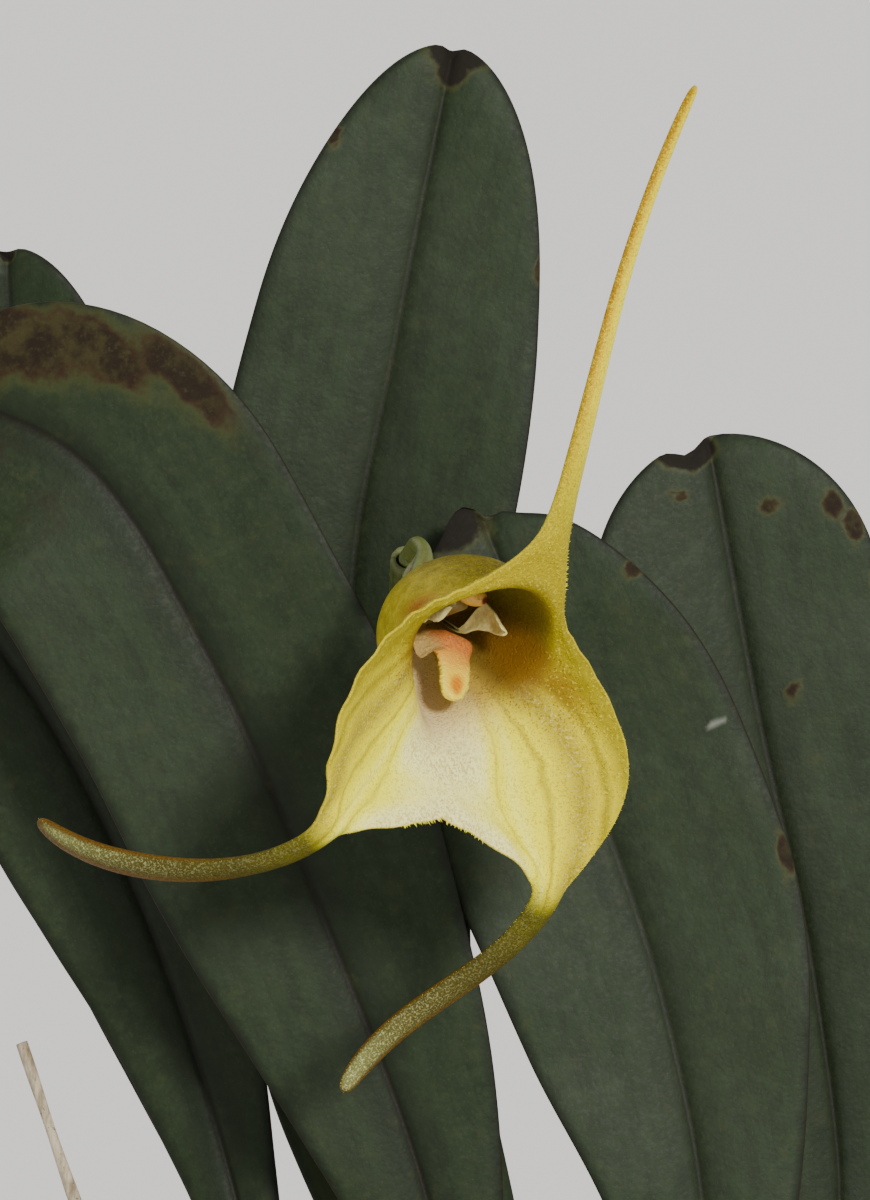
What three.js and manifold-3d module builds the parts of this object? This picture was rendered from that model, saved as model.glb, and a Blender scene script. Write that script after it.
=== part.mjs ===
// A potted masdevallia orchid: a tuft of leathery leaves on sheathed stems, one open flower
// with three tailed sepals, the creeping rhizome, the bark mix and a plain clay pot.
// Units are millimetres, +Z is up, and the origin is the middle of the pot's underside.

import * as THREE from 'three';
import { mergeVertices } from 'three/addons/utils/BufferGeometryUtils.js';
import Module from 'manifold-3d';

const wasm = await Module();
wasm.setup();

// ---------------------------------------------------------------- driving dimensions

const GAP = 0.3; // clearance between pieces that touch
const SLIVER = 0.02; // edges shorter than this are merged after a cut

const POT_HEIGHT = 80;
const POT_FOOT_RADIUS = 31;
const POT_RIM_RADIUS = 46;
const POT_RIM_DEPTH = 16;
const POT_RIM_LEDGE = 2.4;
const POT_WALL = 4;
const POT_FLOOR = 5;
const DRAIN_RADIUS = 4;
const DRAIN_CIRCLE = 17;
const DRAIN_COUNT = 4;
const ROUND_SIDES = 32;

const MIX_TOP = 72;
const CHIP_COUNT = 38;
const CHIP_LENGTH = 9;
const CHIP_SPACING = 6.5; // least distance between the middles of two chips

const RHIZOME_RADIUS = 2.5;
const RHIZOME_HEIGHT = MIX_TOP + 0.6;
const ROOT_RADIUS = 0.9;

const STEM_RADIUS = 1.4;
const STEM_SHARE = 0.14; // share of a leaf's length that is its round stem
const PETIOLE_HALF_WIDTH = 1.9;
const PETIOLE_HALF_THICKNESS = 1.1;
const TIP_HALF_WIDTH = 0.7;
const BLADE_HALF_THICKNESS = 0.6;
const BLADE_EDGE_HALF_THICKNESS = 0.32;
const BLADE_GUTTER = 0.1; // how far the halves rise from the midrib, per half width

const SHEATH_FOOT = 5; // along the stem, from its foot in the rhizome
const SHEATH_END = 0.17; // share of the leaf's length
const SHEATH_WALL = 0.6;
const SHEATH_FLARE = 0.5;

const PEDUNCLE_RADIUS = 0.7;
const STALK_RADIUS = 0.6;

const FLOWER_CENTRE = [-5.8, -25, 174.7];
const FLOWER_YAW = 34; // degrees to the right of straight ahead
const FLOWER_NOD = 10.5;
const FLOWER_ROLL = 16.5;
const SEPAL_HALF_THICKNESS = 0.31;
const BLADE_BELLY = 0.1; // how far a sepal blade bows back between throat and margin

// ---------------------------------------------------------------- colours

const finish = (color, roughness) => new THREE.MeshStandardMaterial({ color, roughness, metalness: 0 });
const CLAY = finish('#a8583a', 0.85);
const BARK = finish('#4a3524', 0.95);
const RHIZOME_BROWN = finish('#6b6a3c', 0.8);
const LEAF_GREEN = finish('#3d4f3a', 0.5);
const SHEATH_BROWN = finish('#9a8560', 0.9);
const STALK_GREEN = finish('#7d8f4e', 0.6);
const STRAW = finish('#b3a483', 0.85);
const SEPAL_YELLOW = finish('#d9c04a', 0.55);
const PETAL_CREAM = finish('#e8dcc0', 0.5);
const LIP_PINK = finish('#e0a184', 0.5);
const COLUMN_CREAM = finish('#e3c79c', 0.5);
const ANTHER_PEACH = finish('#e39a63', 0.5);
const OVARY_GREEN = finish('#8fa05a', 0.55);

// ---------------------------------------------------------------- shared helpers

const radians = THREE.MathUtils.degToRad;
const vector = (p) => new THREE.Vector3(...p);
const mix = THREE.MathUtils.lerp;

function smoothstep(x, from, to) {
  return THREE.MathUtils.smoothstep(x, from, to);
}

// A small generator of repeatable numbers between 0 and 1.
function seeded(seed) {
  let state = seed;
  return () => {
    state = (state * 16807) % 2147483647;
    return state / 2147483647;
  };
}

function signedVolume(points, index) {
  let sum = 0;
  for (let i = 0; i < index.length; i += 3) {
    const [a, b, c] = [points[index[i]], points[index[i + 1]], points[index[i + 2]]];
    sum += a.dot(new THREE.Vector3().crossVectors(b, c));
  }
  return sum / 6;
}

// A geometry from points and triangles, turned so that its faces point out.
function closedGeometry(points, index) {
  const turned = signedVolume(points, index) < 0 ? [...index].reverse() : index;
  const geometry = new THREE.BufferGeometry();
  geometry.setFromPoints(points);
  geometry.setIndex(turned);
  geometry.computeVertexNormals();
  return geometry;
}

// Joins rings of equal length into one closed skin; a loop of rings has no end caps.
function loft(rings, loop = false) {
  const points = rings.flat();
  const around = rings[0].length;
  const index = [];
  const steps = loop ? rings.length : rings.length - 1;
  for (let i = 0; i < steps; i += 1) {
    const next = (i + 1) % rings.length;
    for (let j = 0; j < around; j += 1) {
      const k = (j + 1) % around;
      const [a, b] = [i * around + j, i * around + k];
      const [c, d] = [next * around + k, next * around + j];
      index.push(a, b, c, a, c, d);
    }
  }
  if (!loop) {
    addCap(points, index, 0, around, true);
    addCap(points, index, (rings.length - 1) * around, around, false);
  }
  return closedGeometry(points, index);
}

function addCap(points, index, start, around, first) {
  const centre = new THREE.Vector3();
  for (let j = 0; j < around; j += 1) {
    centre.addScaledVector(points[start + j], 1 / around);
  }
  const middle = points.push(centre) - 1;
  for (let j = 0; j < around; j += 1) {
    const [a, b] = [start + j, start + ((j + 1) % around)];
    index.push(middle, first ? b : a, first ? a : b);
  }
}

// The side and face directions across a curve at t, from the way the face should look.
function crossFrame(curve, t, facing) {
  const along = curve.getTangentAt(t);
  const side = new THREE.Vector3().crossVectors(facing, along).normalize();
  const face = new THREE.Vector3().crossVectors(along, side).normalize();
  return { centre: curve.getPointAt(t), side, face };
}

function ringAt(frame, section) {
  return section.map(([across, out]) => frame.centre.clone()
    .addScaledVector(frame.side, across)
    .addScaledVector(frame.face, out));
}

function roundSection(radius, sides, lobes = 0, depth = 0) {
  return Array.from({ length: sides }, (_, i) => {
    const angle = (2 * Math.PI * i) / sides;
    const r = radius * (1 + depth * Math.cos(lobes * angle));
    return [r * Math.cos(angle), r * Math.sin(angle)];
  });
}

const smoothCurve = (points) => new THREE.CatmullRomCurve3(points.map(vector));
const AHEAD = new THREE.Vector3(0, -1, 0);

// A round rod along a curve, whose radius follows a rule.
function rod(curve, radiusAt, { sides = 8, steps = 12, from = 0, to = 1, facing = AHEAD } = {}) {
  const rings = [];
  for (let i = 0; i <= steps; i += 1) {
    const t = mix(from, to, i / steps);
    const frame = crossFrame(curve, t, facing);
    rings.push(ringAt(frame, roundSection(radiusAt(t), sides)));
  }
  return loft(rings);
}

// An open sleeve round a stretch of a curve: outer rings up, inner rings down.
function sleeve(curve, { from, to, inner, wall, flare, sides = 8, steps = 2, facing = AHEAD }) {
  const outerRings = [];
  const innerRings = [];
  for (let i = 0; i <= steps; i += 1) {
    const share = i / steps;
    const frame = crossFrame(curve, mix(from, to, share), facing);
    const radius = inner + flare * share * share;
    innerRings.unshift(ringAt(frame, roundSection(radius, sides)));
    outerRings.push(ringAt(frame, roundSection(radius + wall, sides)));
  }
  return loft([...outerRings, ...innerRings], true);
}

function toSolid(geometry) {
  const bare = geometry.clone();
  bare.deleteAttribute('normal');
  bare.deleteAttribute('uv');
  const merged = mergeVertices(bare, 1e-4);
  return new wasm.Manifold(new wasm.Mesh({
    numProp: 3,
    vertProperties: merged.attributes.position.array,
    triVerts: Uint32Array.from(merged.index.array),
  }));
}

function toGeometry(solid) {
  const mesh = solid.simplify(SLIVER).getMesh();
  const geometry = new THREE.BufferGeometry();
  geometry.setAttribute('position', new THREE.BufferAttribute(mesh.vertProperties, 3));
  geometry.setIndex(new THREE.BufferAttribute(mesh.triVerts, 1));
  geometry.computeVertexNormals();
  return geometry;
}

const orchid = new THREE.Group();

function addPiece(name, geometry, material, parent = orchid) {
  const mesh = new THREE.Mesh(geometry, material);
  mesh.name = name;
  parent.add(mesh);
  return mesh;
}

// ---------------------------------------------------------------- leaves

// Each leaf: the points that its middle line passes, from its foot on the rhizome to its tip,
// its greatest half width, the length of its rounded tip, the share of its length below the
// blade, how full its lower blade stays where it does, and the turn of its upper face from
// straight ahead, in degrees.
const LEAVES = {
  leaf_a: {
    line: [[0, 6], [-0.2, 6.5, 98], [-3.6, 7.5, 125], [-10.4, 9.5, 148], [-14.6, 11.5, 172], [-11, 14, 194],
      [-6.5, 17, 216.5]],
    halfWidth: 12,
    tipLength: 34,
    stalkShare: 0.36,
    turn: 0,
  },
  leaf_b: {
    line: [[-6, -3], [-5, -2.6, 97], [-8, -1.6, 125], [-16, -0.3, 148], [-25.6, 1.2, 170],
      [-35.4, 3.3, 185], [-48.2, 6.8, 190.6]],
    halfWidth: 12.5,
    tipLength: 22,
    stalkShare: 0.2,
    fullness: 1.4,
    turn: 3,
  },
  leaf_c: {
    line: [[-10, 8], [-16, 12, 98], [-27, 18, 128], [-37, 23, 158], [-41.6, 26, 181], [-43, 27, 199.8]],
    halfWidth: 10.5,
    tipLength: 24,
    stalkShare: 0.3,
    turn: -10,
  },
  leaf_d: {
    line: [[13, 5], [19, 8, 95], [24.5, 11, 120], [22.5, 13.5, 142], [18, 16, 163], [13.9, 19, 185.2]],
    halfWidth: 11.8,
    tipLength: 14,
    stalkShare: 0.24,
    turn: 8,
  },
  leaf_e: {
    line: [[6, -5], [9.5, -5, 98], [13.1, -3, 122], [10, 0.5, 142], [3.6, 4, 161], [-4.6, 6.5, 180.6]],
    halfWidth: 13,
    tipLength: 27,
    stalkShare: 0.22,
    turn: 5,
  },
  leaf_f: {
    line: [[-14, 1], [-18.5, 5, 98], [-24.5, 10, 127], [-33, 14, 151], [-42.5, 17, 167.5], [-52.5, 19, 178]],
    halfWidth: 9.5,
    tipLength: 20,
    stalkShare: 0.3,
    turn: -8,
  },
  leaf_g: {
    line: [[6, 13], [8, 18, 98], [11, 24, 125], [12, 29, 150], [11, 32, 169]],
    halfWidth: 9.5,
    tipLength: 18,
    stalkShare: 0.3,
    turn: 165,
  },
  leaf_h: {
    line: [[17, -3], [24, -6, 90], [34, -9, 106], [46, -12, 118], [57, -16, 123]],
    halfWidth: 9.5,
    tipLength: 15,
    stalkShare: 0.32,
    turn: 30,
  },
  leaf_i: {
    line: [[-16, -7], [-22, -14, 88], [-30, -22, 101], [-38, -29, 109], [-47, -36, 111]],
    halfWidth: 8.5,
    tipLength: 14,
    stalkShare: 0.34,
    turn: -35,
  },
  leaf_j: {
    line: [[-6, 15], [-9, 22, 98], [-13, 31, 122], [-16, 38, 143], [-17, 44, 158]],
    halfWidth: 9.5,
    tipLength: 18,
    stalkShare: 0.3,
    turn: 190,
  },
  leaf_k: {
    line: [[15, 13], [21, 20, 96], [29, 28, 118], [37, 35, 136], [45, 42, 147]],
    halfWidth: 9.5,
    tipLength: 15,
    stalkShare: 0.32,
    turn: 140,
  },
};

// A blade's half width by its distance from the tip, as a share of the blade's length: a
// rounded tip, and below it a slow fall to the stalk.
function bladeHalfWidth(fromTip, tipShare, halfWidth, fullness) {
  if (fromTip < tipShare) {
    const round = Math.sqrt(1 - (1 - fromTip / tipShare) ** 2);
    return Math.max(halfWidth * round, TIP_HALF_WIDTH);
  }
  const below = ((fromTip - tipShare) / (1 - tipShare)) ** fullness;
  const fall = (1 + Math.cos(Math.PI * below)) / 2;
  return mix(PETIOLE_HALF_WIDTH, halfWidth, fall);
}

// Where the cross-sections of a leaf stand: few on its stem, close together at its tip.
const LEAF_ROWS = [0, 0.08, 0.16, 0.22, 0.28, 0.35, 0.43, 0.51, 0.59, 0.67, 0.74, 0.8, 0.86, 0.91, 0.95,
  0.98, 1];
const ACROSS = [1, 0.5, 0, -0.5, -1];

function leafSection(t, length, { halfWidth, tipLength, stalkShare, fullness = 1 }) {
  const bladeLength = length * (1 - stalkShare);
  const fromTip = Math.min((length * (1 - t)) / bladeLength, 1);
  const width = bladeHalfWidth(fromTip, tipLength / bladeLength, halfWidth, fullness);
  const flat = smoothstep(t, STEM_SHARE, stalkShare);
  const middle = mix(PETIOLE_HALF_THICKNESS, BLADE_HALF_THICKNESS, smoothstep(t, stalkShare, 0.6));
  const point = (v, sign, angle) => {
    const thick = mix(middle, BLADE_EDGE_HALF_THICKNESS, v * v);
    const lift = BLADE_GUTTER * width * Math.abs(v) ** 1.5;
    return [
      mix(STEM_RADIUS * Math.cos(angle), width * v, flat),
      mix(STEM_RADIUS * Math.sin(angle), sign * thick + lift, flat),
    ];
  };
  const upper = ACROSS.map((v, i) => point(v, 1, radians(18 + 36 * i)));
  const lower = ACROSS.map((v, i) => point(-v, -1, radians(198 + 36 * i)));
  return [...upper, ...lower];
}

function leafCurve(leaf) {
  const [foot, ...rest] = leaf.line;
  return smoothCurve([[...foot, MIX_TOP + 0.5], ...rest]);
}

const facingOf = (turn) => AHEAD.clone().applyAxisAngle(new THREE.Vector3(0, 0, 1), radians(turn));

function makeLeaf(leaf) {
  const curve = leafCurve(leaf);
  const facing = facingOf(leaf.turn);
  const length = curve.getLength();
  return loft(LEAF_ROWS.map((t) => ringAt(crossFrame(curve, t, facing), leafSection(t, length, leaf))));
}

function addLeaves() {
  for (const [name, leaf] of Object.entries(LEAVES)) {
    addPiece(name, makeLeaf(leaf), LEAF_GREEN);
    const curve = leafCurve(leaf);
    const sheath = sleeve(curve, {
      from: SHEATH_FOOT / curve.getLength(),
      to: SHEATH_END,
      inner: STEM_RADIUS + GAP,
      wall: SHEATH_WALL,
      flare: SHEATH_FLARE,
      facing: facingOf(leaf.turn),
    });
    addPiece(name.replace('leaf', 'sheath'), sheath, SHEATH_BROWN);
  }
}

// ---------------------------------------------------------------- flower stalks

const PEDUNCLE_LINE = [[-3, 1.5, MIX_TOP + 0.5], [-3.4, 2.8, 95], [-5.5, 4.2, 118], [-10, 5, 138],
  [-13.2, 5, 155], [-12.6, 3.6, 166], [-10.4, 1, 172], [-10.2, -4, 176.8], [-10, -8, 178.9]];
const SPENT_STALK_LINE = [[-12, -4, MIX_TOP + 0.5], [-19, -4.5, 90], [-29, -3, 110], [-35.2, -1.5, 124.8],
  [-40.2, 0, 139.6]];

function addStalks() {
  const stalk = smoothCurve(PEDUNCLE_LINE);
  addPiece('peduncle', rod(stalk, () => PEDUNCLE_RADIUS, { sides: 6, steps: 22 }), STALK_GREEN);
  const bract = { inner: PEDUNCLE_RADIUS + GAP, wall: 0.6, flare: 0.15, sides: 8 };
  addPiece('peduncle_bract', sleeve(stalk, { ...bract, from: 0.36, to: 0.44 }), SHEATH_BROWN);
  addPiece('floral_bract', sleeve(stalk, { ...bract, from: 0.93, to: 0.995 }), STALK_GREEN);
  const spent = smoothCurve(SPENT_STALK_LINE);
  const thin = (t) => STALK_RADIUS * (1 - 0.3 * t);
  addPiece('spent_stalk', rod(spent, thin, { sides: 6, steps: 10 }), STRAW);
}

// ---------------------------------------------------------------- rhizome and roots

const RHIZOME_RUNS = [
  [[-18.5, -9], [-16, -7], [-12, -4], [-6, -3], [0, -4], [6, -5], [12, -5], [17, -3], [19.5, -1.5]],
  [[-16, -7], [-14, 1], [-10, 8], [-6, 15], [-4.5, 17.5]],
  [[-6, -3], [-3, 1.5], [0, 6], [6, 13], [15, 13], [18, 14]],
  [[0, 6], [7, 4], [13, 5], [17, -3]],
];
const ROOT_LINES = [
  [[-18, -8.5, 72.4], [-23, -13, 73.2], [-26, -17, 71.5], [-26, -19, 64], [-24, -19, 54]],
  [[18, -3, 72.4], [23, -9, 73.4], [25, -16, 72], [24, -20, 65], [21, -21, 54]],
  [[6, -5, 72], [6, -11, 73.2], [3, -17, 72.4], [1, -22, 66], [2, -25, 55]],
  [[-10, 9, 72], [-16, 13, 73], [-22, 16, 71], [-25, 18, 64], [-24, 20, 52]],
  [[16, 13.5, 72], [22, 13, 73.2], [27, 11, 71], [28, 9, 64], [27, 8, 54]],
];

// The rhizome and its roots as one body; an enlarged copy makes their bed in the mix.
function rhizomeSolid(extra) {
  const runs = RHIZOME_RUNS.map((run) => {
    const curve = smoothCurve(run.map(([x, y]) => [x, y, RHIZOME_HEIGHT]));
    const knobbly = (t) => RHIZOME_RADIUS * (1 + 0.08 * Math.sin(run.length * 9 * t)) + extra;
    return rod(curve, knobbly, { sides: 6, steps: run.length, facing: new THREE.Vector3(0, 0, 1) });
  });
  const roots = ROOT_LINES.map((line) => {
    const taper = (t) => ROOT_RADIUS * (1 - 0.35 * t) + extra;
    return rod(smoothCurve(line), taper, { sides: 5, steps: 5 });
  });
  const [first, ...rest] = [...runs, ...roots].map(toSolid);
  return rest.reduce((body, piece) => body.add(piece), first);
}

// What a stem needs cut away where it stands: an enlarged copy of its foot, and a little below.
function socket(curve, radius) {
  const foot = curve.getPointAt(0);
  const plug = new THREE.CylinderGeometry(radius, radius, 2 * GAP, 8);
  plug.rotateX(Math.PI / 2);
  plug.translate(foot.x, foot.y, foot.z);
  const to = SHEATH_FOOT / curve.getLength();
  return toSolid(plug).add(toSolid(rod(curve, () => radius, { sides: 8, steps: 1, to })));
}

function addRhizome() {
  let body = rhizomeSolid(0);
  for (const leaf of Object.values(LEAVES)) {
    body = body.subtract(socket(leafCurve(leaf), STEM_RADIUS + GAP));
  }
  for (const line of [PEDUNCLE_LINE, SPENT_STALK_LINE]) {
    body = body.subtract(socket(smoothCurve(line), PEDUNCLE_RADIUS + GAP));
  }
  addPiece('rhizome', toGeometry(body), RHIZOME_BROWN);
}

// ---------------------------------------------------------------- pot and potting mix

const potInnerRadius = (z) => {
  const share = (z - POT_FLOOR) / (POT_HEIGHT - POT_FLOOR);
  return mix(POT_FOOT_RADIUS - POT_WALL - 0.5, POT_RIM_RADIUS - POT_WALL, share);
};

function addPot() {
  const rimFoot = POT_HEIGHT - POT_RIM_DEPTH;
  const wallTop = POT_RIM_RADIUS - POT_RIM_LEDGE - 1;
  const profile = [
    [0, 0], [POT_FOOT_RADIUS - 1, 0], [POT_FOOT_RADIUS, 1], [wallTop - 0.4, rimFoot - 0.6],
    [POT_RIM_RADIUS - 1, rimFoot], [POT_RIM_RADIUS - 0.4, rimFoot + 1],
    [POT_RIM_RADIUS, POT_HEIGHT - 1.4], [POT_RIM_RADIUS - 1, POT_HEIGHT],
    [potInnerRadius(POT_HEIGHT) + 1, POT_HEIGHT], [potInnerRadius(POT_HEIGHT - 1.2), POT_HEIGHT - 1.2],
    [potInnerRadius(POT_FLOOR + 2), POT_FLOOR + 2], [potInnerRadius(POT_FLOOR) - 2, POT_FLOOR],
    [0, POT_FLOOR],
  ];
  const wall = new THREE.LatheGeometry(profile.map(([r, z]) => new THREE.Vector2(r, z)), ROUND_SIDES);
  wall.rotateX(Math.PI / 2);
  let body = toSolid(wall);
  for (let i = 0; i < DRAIN_COUNT; i += 1) {
    const angle = (2 * Math.PI * (i + 0.5)) / DRAIN_COUNT;
    const drain = new THREE.CylinderGeometry(DRAIN_RADIUS, DRAIN_RADIUS, 4 * POT_FLOOR, 12);
    drain.rotateX(Math.PI / 2);
    drain.translate(DRAIN_CIRCLE * Math.cos(angle), DRAIN_CIRCLE * Math.sin(angle), 0);
    body = body.subtract(toSolid(drain));
  }
  addPiece('pot', toGeometry(body), CLAY);
}

// Distance in plan from a point to the nearest stem foot or stretch of rhizome.
function clearanceInPlan(x, y) {
  const runs = RHIZOME_RUNS.flatMap((run) => run.slice(1).map((end, i) => [run[i], end]));
  const distances = runs.map(([a, b]) => {
    const along = new THREE.Vector2(b[0] - a[0], b[1] - a[1]);
    const to = new THREE.Vector2(x - a[0], y - a[1]);
    const share = THREE.MathUtils.clamp(to.dot(along) / along.lengthSq(), 0, 1);
    return to.addScaledVector(along, -share).length();
  });
  return Math.min(...distances);
}

function barkChip(random) {
  const chip = new THREE.BoxGeometry(
    CHIP_LENGTH * mix(0.6, 1.1, random()),
    CHIP_LENGTH * mix(0.45, 0.75, random()),
    CHIP_LENGTH * mix(0.25, 0.4, random()),
  );
  chip.rotateX(mix(-0.45, 0.45, random()));
  chip.rotateY(mix(-0.45, 0.45, random()));
  chip.rotateZ(mix(0, Math.PI, random()));
  return chip;
}

function addPottingMix() {
  const bottom = POT_FLOOR + 2 + GAP;
  const inner = (z) => potInnerRadius(z) - GAP;
  const profile = [[0, bottom], [inner(bottom), bottom], [inner(MIX_TOP - 1), MIX_TOP - 1],
    [inner(MIX_TOP - 1) - 1, MIX_TOP], [0, MIX_TOP]];
  const plug = new THREE.LatheGeometry(profile.map(([r, z]) => new THREE.Vector2(r, z)), ROUND_SIDES);
  plug.rotateX(Math.PI / 2);
  let body = toSolid(plug);
  const random = seeded(29);
  const placed = [];
  while (placed.length < CHIP_COUNT) {
    const radius = (inner(MIX_TOP) - 0.75 * CHIP_LENGTH) * Math.sqrt(random());
    const angle = 2 * Math.PI * random();
    const spot = new THREE.Vector2(radius * Math.cos(angle), radius * Math.sin(angle));
    const free = placed.every((other) => other.distanceTo(spot) > CHIP_SPACING);
    if (free && clearanceInPlan(spot.x, spot.y) > RHIZOME_RADIUS + 0.5 * CHIP_LENGTH) {
      const chip = barkChip(random);
      chip.translate(spot.x, spot.y, MIX_TOP + mix(-0.4, 0.8, random()));
      body = body.add(toSolid(chip));
      placed.push(spot);
    }
  }
  addPiece('potting_mix', toGeometry(body.subtract(rhizomeSolid(GAP))), BARK);
}

// ---------------------------------------------------------------- flower: the three sepals

// The flower's own axes: x to its right as one looks into it, y up, z forward out of its mouth.
// Angles are counted from the hood, clockwise; a meridian runs from the cup's foot to the margin.
const MERIDIAN_ANGLES = [0, 13, 33, 57, 80, 103, 118, 132, 143, 154, 166, 175, 180];
const TAIL_MERIDIANS = [7, 8, 9];

// Rings of the cup: how far forward they lie at the top, side and bottom, their half width,
// their height above and below the axis, and how much they are pinched together below.
const CUP_RINGS = [
  { top: -7, side: -7, bottom: -7, half: 1.4, above: 1.4, below: 1.4, pinch: 0 },
  { top: -6.8, side: -6.9, bottom: -6.8, half: 2.9, above: 3.2, below: 3.2, pinch: 0 },
  { top: -4.4, side: -4.8, bottom: -5, half: 4.3, above: 5.5, below: 5, pinch: 0.1 },
  { top: 0.8, side: -1, bottom: -2.2, half: 5.6, above: 6.8, below: 5.9, pinch: 0.35 },
  { top: 4.8, side: 1.6, bottom: 0.6, half: 6.3, above: 5.5, below: 7.4, pinch: 0.65 },
];

// The free margin on either side, from the hood's tail over the sinus and the lateral sepal,
// with the three points of its tail, to the notch below.
const MARGIN_RIGHT = [[-0.3, 9.6, 6], [1.1, 9.2, 5.8], [3.6, 5.9, 4.5], [5.4, 3.3, 3], [8.8, 1.2, 4],
  [14.2, -4.6, 6.4], [13.6, -10.4, 6.4], [11.7, -14.6, 5.9], [10.6, -15.2, 5.9], [9.6, -14.5, 5.8],
  [4.6, -12.7, 5.3], [1, -12.1, 4.5], [0, -11.6, 4.2]];
const MARGIN_LEFT = [[-1.7, 9.4, 6], [-3.6, 5.9, 4.5], [-5.3, 3.5, 3], [-9.5, 1.5, 4.3], [-13.7, -4, 6.4],
  [-12.9, -9.2, 6.4], [-11, -13.4, 5.7], [-9.9, -14.1, 5.6], [-8.8, -13.9, 5.4], [-4.6, -13.1, 5],
  [-1, -12.2, 4.4]];

// Tails beyond the margin: points of the middle line, each with the width there.
const DORSAL_TAIL = [[-0.1, 12.6, 5.3, 1.9], [0.3, 19.9, 3.7, 1.5], [0.4, 27, 2.4, 1.2], [0.3, 33.2, 2.1, 1],
  [0.1, 38.6, 2.5, 0.9], [-0.3, 42.2, 3.4, 0.8], [-0.5, 43.2, 3.8, 0.5]];
const LEFT_TAIL = [[-11, -16.1, 4.3, 2.4], [-12.8, -18.3, 2.6, 2.1], [-15.4, -20.3, 0, 2],
  [-18, -21.5, -3, 1.9], [-20, -22.1, -6, 1.9], [-21.4, -22.1, -8.6, 1.8], [-22.2, -21.8, -10.6, 1.6],
  [-22.5, -21.6, -11.4, 0.8]];
const RIGHT_TAIL = [[11.4, -17.6, 4.3, 2.5], [10.8, -20.9, 2.9, 2.3], [9, -24.2, 1.6, 2.2],
  [6.8, -27, 0.8, 2.1], [5, -30, 0.1, 2], [3.9, -32.6, -0.1, 1.8], [3.5, -34.1, -0.1, 1.4],
  [3.4, -34.7, -0.1, 0.7]];
const TAIL_EDGE_HALF_THICKNESS = 0.32;
const TAIL_MIDDLE_HALF_THICKNESS = 0.55;

function cupRing(ring) {
  const half = MERIDIAN_ANGLES.map((degrees) => {
    const [c, s] = [Math.cos(radians(degrees)), Math.sin(radians(degrees))];
    const height = c > 0 ? ring.above : ring.below;
    const forward = c > 0 ? ring.top : ring.bottom;
    const width = ring.half * (1 - ring.pinch * Math.max(0, -c));
    return [width * s, height * c, mix(ring.side, forward, c * c)];
  });
  const mirrored = half.slice(1, -1).reverse().map(([x, y, z]) => [-x, y, z]);
  return [...half, ...mirrored];
}

// The control cage of the sepals: rings of the cup, two rings of the blades, the margin and
// then three points across each step of a tail. Each point carries its half thickness.
function sepalCage() {
  const margin = [...MARGIN_RIGHT, ...[...MARGIN_LEFT].reverse()];
  const throat = cupRing(CUP_RINGS.at(-1));
  const bladeRing = (share) => throat.map((p, i) => {
    const [a, b] = [vector(p), vector(margin[i])];
    const bow = BLADE_BELLY * a.distanceTo(b) * Math.sin(Math.PI * share);
    return a.lerp(b, share).add(new THREE.Vector3(0, 0, -bow)).toArray();
  });
  const rings = [...CUP_RINGS.map(cupRing), bladeRing(0.36), bladeRing(0.72), margin];
  const around = margin.length;
  const points = rings.flat().map((p) => [...p, SEPAL_HALF_THICKNESS]);
  const faces = [];
  for (let i = 0; i < rings.length - 1; i += 1) {
    for (let j = 0; j < around; j += 1) {
      const k = (j + 1) % around;
      faces.push([i * around + j, i * around + k, (i + 1) * around + k, (i + 1) * around + j]);
    }
  }
  const last = (rings.length - 1) * around;
  const left = TAIL_MERIDIANS.map((m) => last + around - m).reverse();
  const right = TAIL_MERIDIANS.map((m) => last + m);
  addTail(points, faces, [last + around - 1, last, last + 1], DORSAL_TAIL);
  addTail(points, faces, right, RIGHT_TAIL);
  addTail(points, faces, left, LEFT_TAIL);
  return { points, faces };
}

function addTail(points, faces, root, tail) {
  const line = [points[root[1]].slice(0, 3), ...tail.map((p) => p.slice(0, 3))].map(vector);
  const across = vector(points[root[2]].slice(0, 3)).sub(vector(points[root[0]].slice(0, 3)));
  let before = root;
  tail.forEach(([, , , width], i) => {
    const next = line[Math.min(i + 2, line.length - 1)];
    const along = next.clone().sub(line[i]).normalize();
    across.addScaledVector(along, -across.dot(along)).normalize();
    const row = [-1, 0, 1].map((side) => {
      const p = line[i + 1].clone().addScaledVector(across, (side * width) / 2);
      const thick = side === 0 ? TAIL_MIDDLE_HALF_THICKNESS : TAIL_EDGE_HALF_THICKNESS;
      return points.push([...p.toArray(), thick]) - 1;
    });
    for (const q of [0, 1]) {
      faces.push([before[q], before[q + 1], row[q + 1], row[q]]);
    }
    before = row;
  });
}

const average = (list) => list[0].map((_, i) => list.reduce((sum, p) => sum + p[i], 0) / list.length);
const weighted = (pairs) => pairs[0][0].map((_, i) => pairs.reduce((sum, [p, w]) => sum + p[i] * w, 0));

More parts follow.
